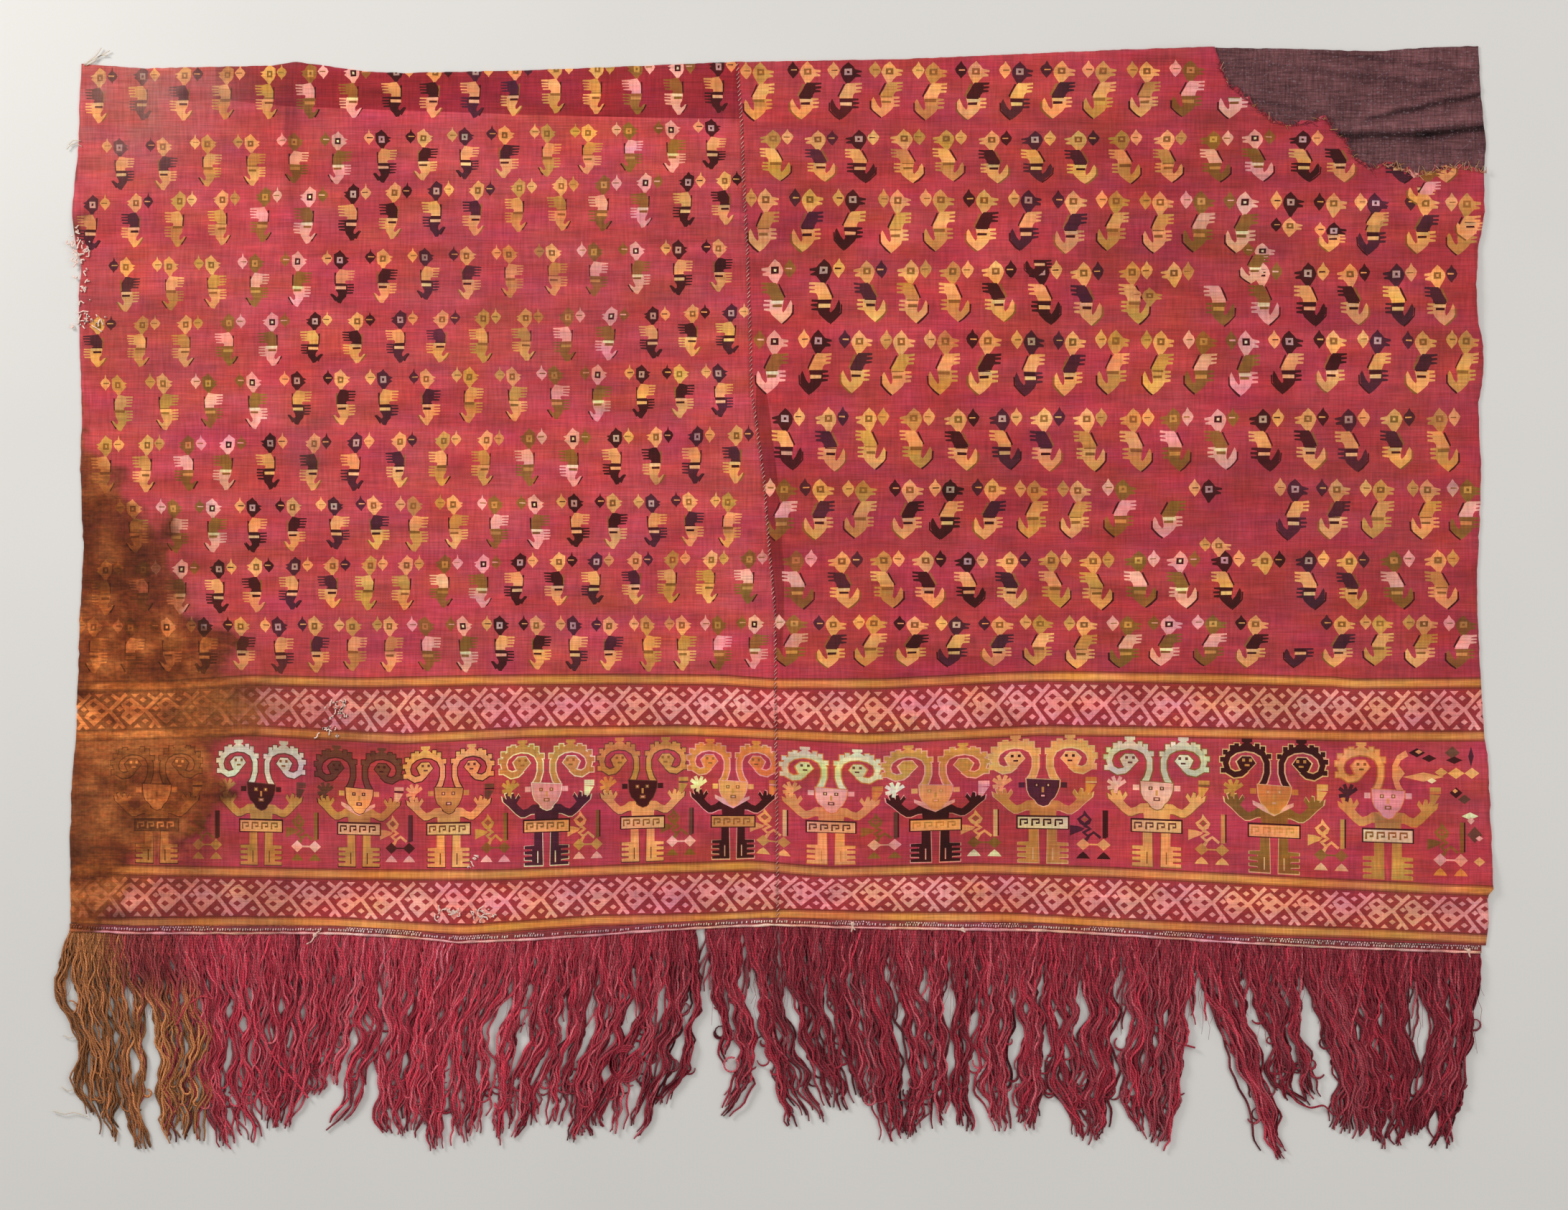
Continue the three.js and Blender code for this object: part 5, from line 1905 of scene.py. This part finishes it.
@dataclass
class Heading:
    """Narrow woven heading of the fringe with its row of pale stitches and the cord at its foot."""

    dot_pitch: float = 2.7
    dot_radius: float = 0.9
    cord_radius: float = 1.45
    knot_radius: float = 0.8
    ground: str = "#8A3A38"
    dot: str = "#FFD2C4"
    cord_tone: str = "#FFB9A8"
    knot: str = "#EFC9B6"

    def strip(self, x0: float, x1: float) -> Shell:
        """The heading itself: a flat strip that follows the cord line.

        Args:
            x0: left end.
            x1: right end.

        Returns:
            The shell.
        """
        x, v = np.meshgrid(np.linspace(x0, x1, int((x1 - x0) / 6)), np.linspace(0, 1, 5))
        y = CORD_LINE.at(x) - HEADING_BELOW + (HEADING_TALL + HEADING_BELOW) * v
        grid = np.stack([x, y, np.zeros_like(x)], axis=-1)
        colour = np.broadcast_to(linear(self.ground), (*x.shape, 3)) * (
            0.8 + 0.4 * soft_noise(x, y, (12, 3), 61))[..., None]
        worn = WEAR_AND_CREASE_SHADE.apply(colour.reshape(-1, 3), x.ravel(), y.ravel())
        return closed_sheet(grid, HEADING_THICK - 0.2, worn)

    def dots(self, x0: float, x1: float) -> Shell:
        """Pale stitches: a full row of short upright loops, and a broken row above it.

        Args:
            x0: left end.
            x1: right end.

        Returns:
            The shell.
        """
        rng = np.random.default_rng(62)
        x = np.arange(x0 + 2, x1 - 2, self.dot_pitch)
        row = np.repeat([0, 1], len(x))
        x = np.tile(x, 2) + 0.5 * self.dot_pitch * row
        kept = np.where(row == 0, rng.random(len(x)) < 0.9, soft_noise(x, x, (40, 40), 67) > 0.45)
        x, row = x[kept], row[kept]
        count = len(x)
        x = x + rng.uniform(-0.4, 0.4, count)
        y = CORD_LINE.at(x) + np.where(row == 0, 3.6, 6.0) + rng.uniform(-0.4, 0.4, count)
        t = np.linspace(-1, 1, 4)[None]
        tall = np.where(row == 0, 1.2, 0.7)[:, None] * rng.uniform(0.7, 1.15, (count, 1))
        paths = np.stack(np.broadcast_arrays(x[:, None] + t * 0.2, y[:, None] + t * tall,
                                             2.3 + 0.4 * (1 - t * t)), axis=-1)
        colours = linear(self.dot) * (0.5 + 0.6 * rng.random((count, 1)))
        return tubes(paths, np.full((count, 4), self.dot_radius), 4, WEAR_AND_CREASE_SHADE.apply(colours, x, y))

    def cord(self, x0: float, x1: float) -> Shell:
        """Pale two-ply cord along the lower edge of the heading, slightly uneven.

        Args:
            x0: left end.
            x1: right end.

        Returns:
            The shell.
        """
        x = np.arange(x0, x1 + 0.1, 4.0)
        y = CORD_LINE.at(x) - 0.3 + 0.9 * (soft_noise(x, x, (17, 17), 63) - 0.5)
        z = 2.5 + 0.5 * (soft_noise(x, x, (13, 13), 64) - 0.5)
        radii = self.cord_radius * (0.55 + 0.75 * soft_noise(x, x, (9, 9), 65))
        tone = linear(self.cord_tone) * (0.55 + 0.6 * soft_noise(x, x, (14, 14), 66))[:, None]
        return tubes(np.stack([x, y, z], axis=-1)[None], radii[None], 6,
                     WEAR_AND_CREASE_SHADE.apply(tone, x, y)[None], 4.5)

    def knots(self, x0: float, x1: float) -> list[Shell]:
        """Pale knots on the cord: a small wound bead of thread with two short ends each.

        Args:
            x0: left end.
            x1: right end.

        Returns:
            A shell for each knot.
        """
        made = []
        # Place of the bead, then the far ends of its two tails from there
        for x, y, *tails in table("""
-491 -356 -9 -9 5 5
  85 -344 -1.5 -8 3 -6
 203 -350 3 -2 -3 1
 745 -373 2 -6 -4 3"""):
            if x0 <= x < x1:
                turn = np.linspace(0, 4 * np.pi, 14)
                bead = np.stack([x + 1.6 * np.cos(turn), y + 0.12 * turn + 1.5 * np.sin(turn),
                                 3.7 + 0.4 * np.sin(2 * turn)], axis=1)
                ends = [smooth_line(np.array([[x, y, 3.6], [x + dx * 0.4, y + dy * 0.7, 3.9],
                                              [x + dx, y + dy, 3.2]]), 14)
                        for dx, dy in (tails[:2], tails[2:])]
                paths = np.stack([bead, *ends])
                made.append(tubes(paths, np.full((3, 14), self.knot_radius), 5,
                                  np.tile(linear(self.knot), (3, 1))))
        return made

    def build(self, cloth: TapestryWool, thread: PliedYarn) -> None:
        """Makes the heading and its threads in a left and a right length.

        Args:
            cloth: finish of the strip.
            thread: finish of its threads.
        """
        cloth_material, thread_material = cloth.build(), thread.build()
        for name, x0, x1 in (("left", HEADING_ENDS[0], 2.0), ("right", 2.0, HEADING_ENDS[1])):
            add_piece(f"heading_{name}", self.strip(x0, x1), cloth_material,
                      ["fringe"], "OFBake")
            threads = joined([self.dots(x0, x1), self.cord(x0, x1), *self.knots(x0, x1)])
            add_piece(f"heading_cord_{name}", threads, thread_material, ["fringe"], "ply")


@dataclass
class LooseThreads:
    """Sewing of the seam, tangled loose threads, and the frayed yarns of the torn and worn edges."""

    stitch_pitch: float = 4.6
    stitch_radius: float = 0.5
    bit_radius: float = 0.8
    stray_radius: float = 0.45
    fray_radius: float = 0.4
    stitch: str = "#E8A89C"
    bit: str = "#FFD6C6"
    stray: str = "#DCC9B0"

    def web_top(self, x: Array, y: Array) -> Array:
        """Height of the webs' upper face."""
        lift = np.where(x > SEAM.at(y), lap_lift(x, y), 0)
        return fold_height(WEB_FOLDS, x, y) + lift + WEB_THICK

    def seam(self) -> Shell:
        """Whipped stitches over the seam: short slanting threads.

        Returns:
            The shell.
        """
        rng = np.random.default_rng(71)
        y = np.arange(-338, 580, self.stitch_pitch)
        count = len(y)
        y = y + rng.uniform(-0.8, 0.8, count)
        t = np.linspace(-1, 1, 5)[None]
        at_y = y[:, None] + t * 1.7
        at_x = SEAM.at(y)[:, None] + t * 1.5 + rng.uniform(-0.4, 0.4, count)[:, None]
        z = self.web_top(at_x, at_y) + 0.5 * (1 - t * t)
        colours = linear(self.stitch) * (0.55 + 0.7 * rng.random((count, 1)))
        return tubes(np.stack([at_x, at_y, z], axis=-1), np.full((count, 5), self.stitch_radius), 4, colours)

    def tangles(self) -> Shell:
        """Off-white broken threads: clusters of short bent bits.

        Returns:
            The shell.
        """
        rng = np.random.default_rng(72)
        paths, steps = [], 9
        # Centre, half width, half height, and how many bits
        for x, y, wide, tall, count in table("""
-468 -118 9 9 16
-478 -136 10 6 12
-460 -106 5 6 8
-312 -333 16 4 18
-344 -330 14 5 12
-352 -326 8 4 6
-319 -277 5 3 4
-742 382 7 17 34
-741 302 8 6 14
-738 340 5 16 12
-728 306 12 4 8"""):
            for _ in range(int(count)):
                start = rng.normal(0, 0.6, 2) * (wide, tall) + (x, y)
                bends = start + np.cumsum(rng.normal(0, 1, (5, 2)) * rng.uniform(0.9, 2.4), axis=0)
                line = smooth_line(bends, steps)
                paths.append(np.column_stack([line, self.web_top(*line.T) + 0.5]))
        paths = np.array(paths)
        colours = linear(self.bit) * (0.85 + 0.3 * rng.random((len(paths), 1)))
        return tubes(paths, np.full(paths.shape[:2], self.bit_radius), 4, colours)

    def strays(self) -> Shell:
        """Single threads off the edges: at the top left corner, the left side and the fringe.

        Returns:
            The shell.
        """
        lines = (
            chart("-739,577 -728,584 -716,590 -711,593"), chart("-738,578 -725,588 -720,596"),
            chart("-737,577 -729,580 -722,588 -713,588"), chart("-741,490 -748,494 -753,492 -757,487"),
            chart("-742,496 -750,497 -755,492"), chart("-735,-550 -749,-545 -760,-548 -772,-544"),
            chart("-747,-464 -754,-466 -761,-463"), chart("-748,-520 -756,-523 -763,-518"),
        )
        paths = np.array([smooth_line(np.column_stack([line, np.full(len(line), 2.2)]), 16)
                          for line in lines])
        return tubes(paths, np.full(paths.shape[:2], self.stray_radius), 4,
                     np.tile(linear(self.stray), (len(lines), 1)))

    def frays(self) -> Shell:
        """Broken yarns along the tear: short threads that leave it to all sides, long and gold at
        its right end.

        Returns:
            The shell.
        """
        rng = np.random.default_rng(73)
        places = densify(np.stack([TOP_RIGHT.rows[4:, 0], TOP_RIGHT.rows[4:, 1]], axis=1), 1.7)
        places = places[places[:, 0] > 478]
        count = len(places)
        right_end = smoothstep(places[:, 0], 640, 690)
        length = 2 + 7 * rng.random(count) ** 2 + 8 * right_end * rng.random(count) ** 2
        angle = np.radians(60 + rng.normal(0, 60, count))
        t = np.linspace(0, 1, 8)[None]
        bend = rng.normal(0, 3.2, count)[:, None] * t * t
        x = places[:, :1] - 2 * np.cos(angle)[:, None] + (length * np.cos(angle))[:, None] * t + bend
        y = places[:, 1:] - 3 + (length * np.sin(angle))[:, None] * t
        x = np.minimum(x, 764)
        z = np.broadcast_to(np.array([4.0]), x.shape) - 0.9 * t
        # Gold, brown, crimson, deep crimson and pink, and how often each at the right end and elsewhere
        palette = np.array([linear(code) for code in ("#E0B070", "#C98A50", "#C04A58", "#8E2C38",
                                                      "#E8A890")])
        weights = np.where(places[:, :1] > 655, (0.26, 0.14, 0.26, 0.08, 0.26),
                           (0.06, 0.08, 0.42, 0.38, 0.06))
        pick = (rng.random((count, 1)) > np.cumsum(weights, axis=1)).sum(axis=1).clip(0, 4)
        tone = rng.uniform(0.6, 1.0, (count, 1))
        return tubes(np.stack([x, y, z], axis=-1), np.full((count, 8), self.fray_radius), 3,
                     palette[pick] * tone)

    def build(self, finish: PliedYarn) -> None:
        """Makes the threads as pieces of their own, seated on the webs.

        Args:
            finish: the thread.
        """
        material = finish.build()
        for name, shell in (("seam_stitches", self.seam()), ("loose_threads", self.tangles()),
                            ("stray_threads", self.strays()), ("torn_edge_yarns", self.frays())):
            add_piece(name, shell, material, [], "ply")


@dataclass
class Studio:
    """Pale floor, soft light and a camera that looks straight down on the cloth."""

    centre: tuple[float, float] = (11.55, -1.5)
    frame_width: float = 1681.7
    height: float = 3200.0
    sensor: float = 36.0
    floor_half: float = 6.0         # in metres, as the next are
    floor_drop: float = 0.0003
    sky: float = 0.48

    def camera(self) -> None:
        """The camera: its lens is the sensor times the height over the width that it takes in."""
        data = bpy.data.cameras.new("camera")
        data.sensor_width = self.sensor
        data.lens = self.sensor * self.height / self.frame_width
        camera = bpy.data.objects.new("camera", data)
        camera.location = (self.centre[0] * MM, self.centre[1] * MM, self.height * MM)
        bpy.context.scene.collection.objects.link(camera)
        bpy.context.scene.camera = camera

    def floor(self, finish: StudioPaper) -> None:
        """A wide flat sheet of paper just under the cloth.

        Args:
            finish: the paper.
        """
        mesh = bpy.data.meshes.new("studio_floor")
        corners = block(-self.floor_half, -self.floor_half, self.floor_half, self.floor_half)
        mesh.from_pydata([(x, y, -self.floor_drop) for x, y in corners.tolist()], [], [(0, 1, 2, 3)])
        mesh.materials.append(finish.build())
        floor = bpy.data.objects.new("studio_floor", mesh)
        bpy.context.scene.collection.objects.link(floor)

    def lamp(self, name: str, place: tuple[float, float, float], size: float, watts: float) -> None:
        """A square soft box that points at the middle of the cloth.

        Args:
            name: its name.
            place: where it hangs, in metres.
            size: its side.
            watts: its power.
        """
        data = bpy.data.lights.new(name, "AREA")
        data.size = size
        data.energy = watts
        lamp = bpy.data.objects.new(name, data)
        lamp.location = place
        away = np.array(place) / np.linalg.norm(place)
        lamp.rotation_euler = (float(np.arccos(away[2])), 0, float(np.arctan2(away[0], -away[1])))
        bpy.context.scene.collection.objects.link(lamp)

    def light(self) -> None:
        """Even light from the world and two soft boxes, which leave small soft shadows."""
        world = bpy.data.worlds.new("studio")
        world.use_nodes = True
        world.node_tree.nodes["Background"].inputs["Color"].default_value = (1, 1, 1, 1)
        world.node_tree.nodes["Background"].inputs["Strength"].default_value = self.sky
        bpy.context.scene.world = world
        self.lamp("key_light", (-2.2, 1.7, 1.35), 0.9, 52)
        self.lamp("fill_light", (1.8, 0.6, 2.2), 2.0, 24)
        bpy.context.scene.view_settings.view_transform = "Standard"


def main() -> None:
    """Loads the frame, then makes the studio and each piece in turn."""
    logging.basicConfig(level=logging.INFO, format="%(message)s")
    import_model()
    studio = Studio()
    studio.camera()
    studio.light()
    studio.floor(StudioPaper())
    design, wool = WovenDesign(), TapestryWool()
    Web("left_web_tapestry", "left_web", Yarn.GROUND_LEFT, TOP_LEFT, -1, patches=design.left()).build(wool)
    Web("right_web_tapestry", "right_web", Yarn.GROUND_RIGHT, TOP_RIGHT, 1,
        patches=design.right()).build(wool)
    CornerPatch().build(OpenPlainWeave())
    Fringe().build(PliedYarn("plied_wool_fringe", 0.42, 0.06))
    Heading().build(TapestryWool("heading_wool"), PliedYarn("cotton_sewing_thread", 0.2, 0.1))
    LooseThreads().build(PliedYarn("loose_yarn_ends", 0.2, 0.1))
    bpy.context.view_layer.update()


if __name__ == "__main__":
    main()
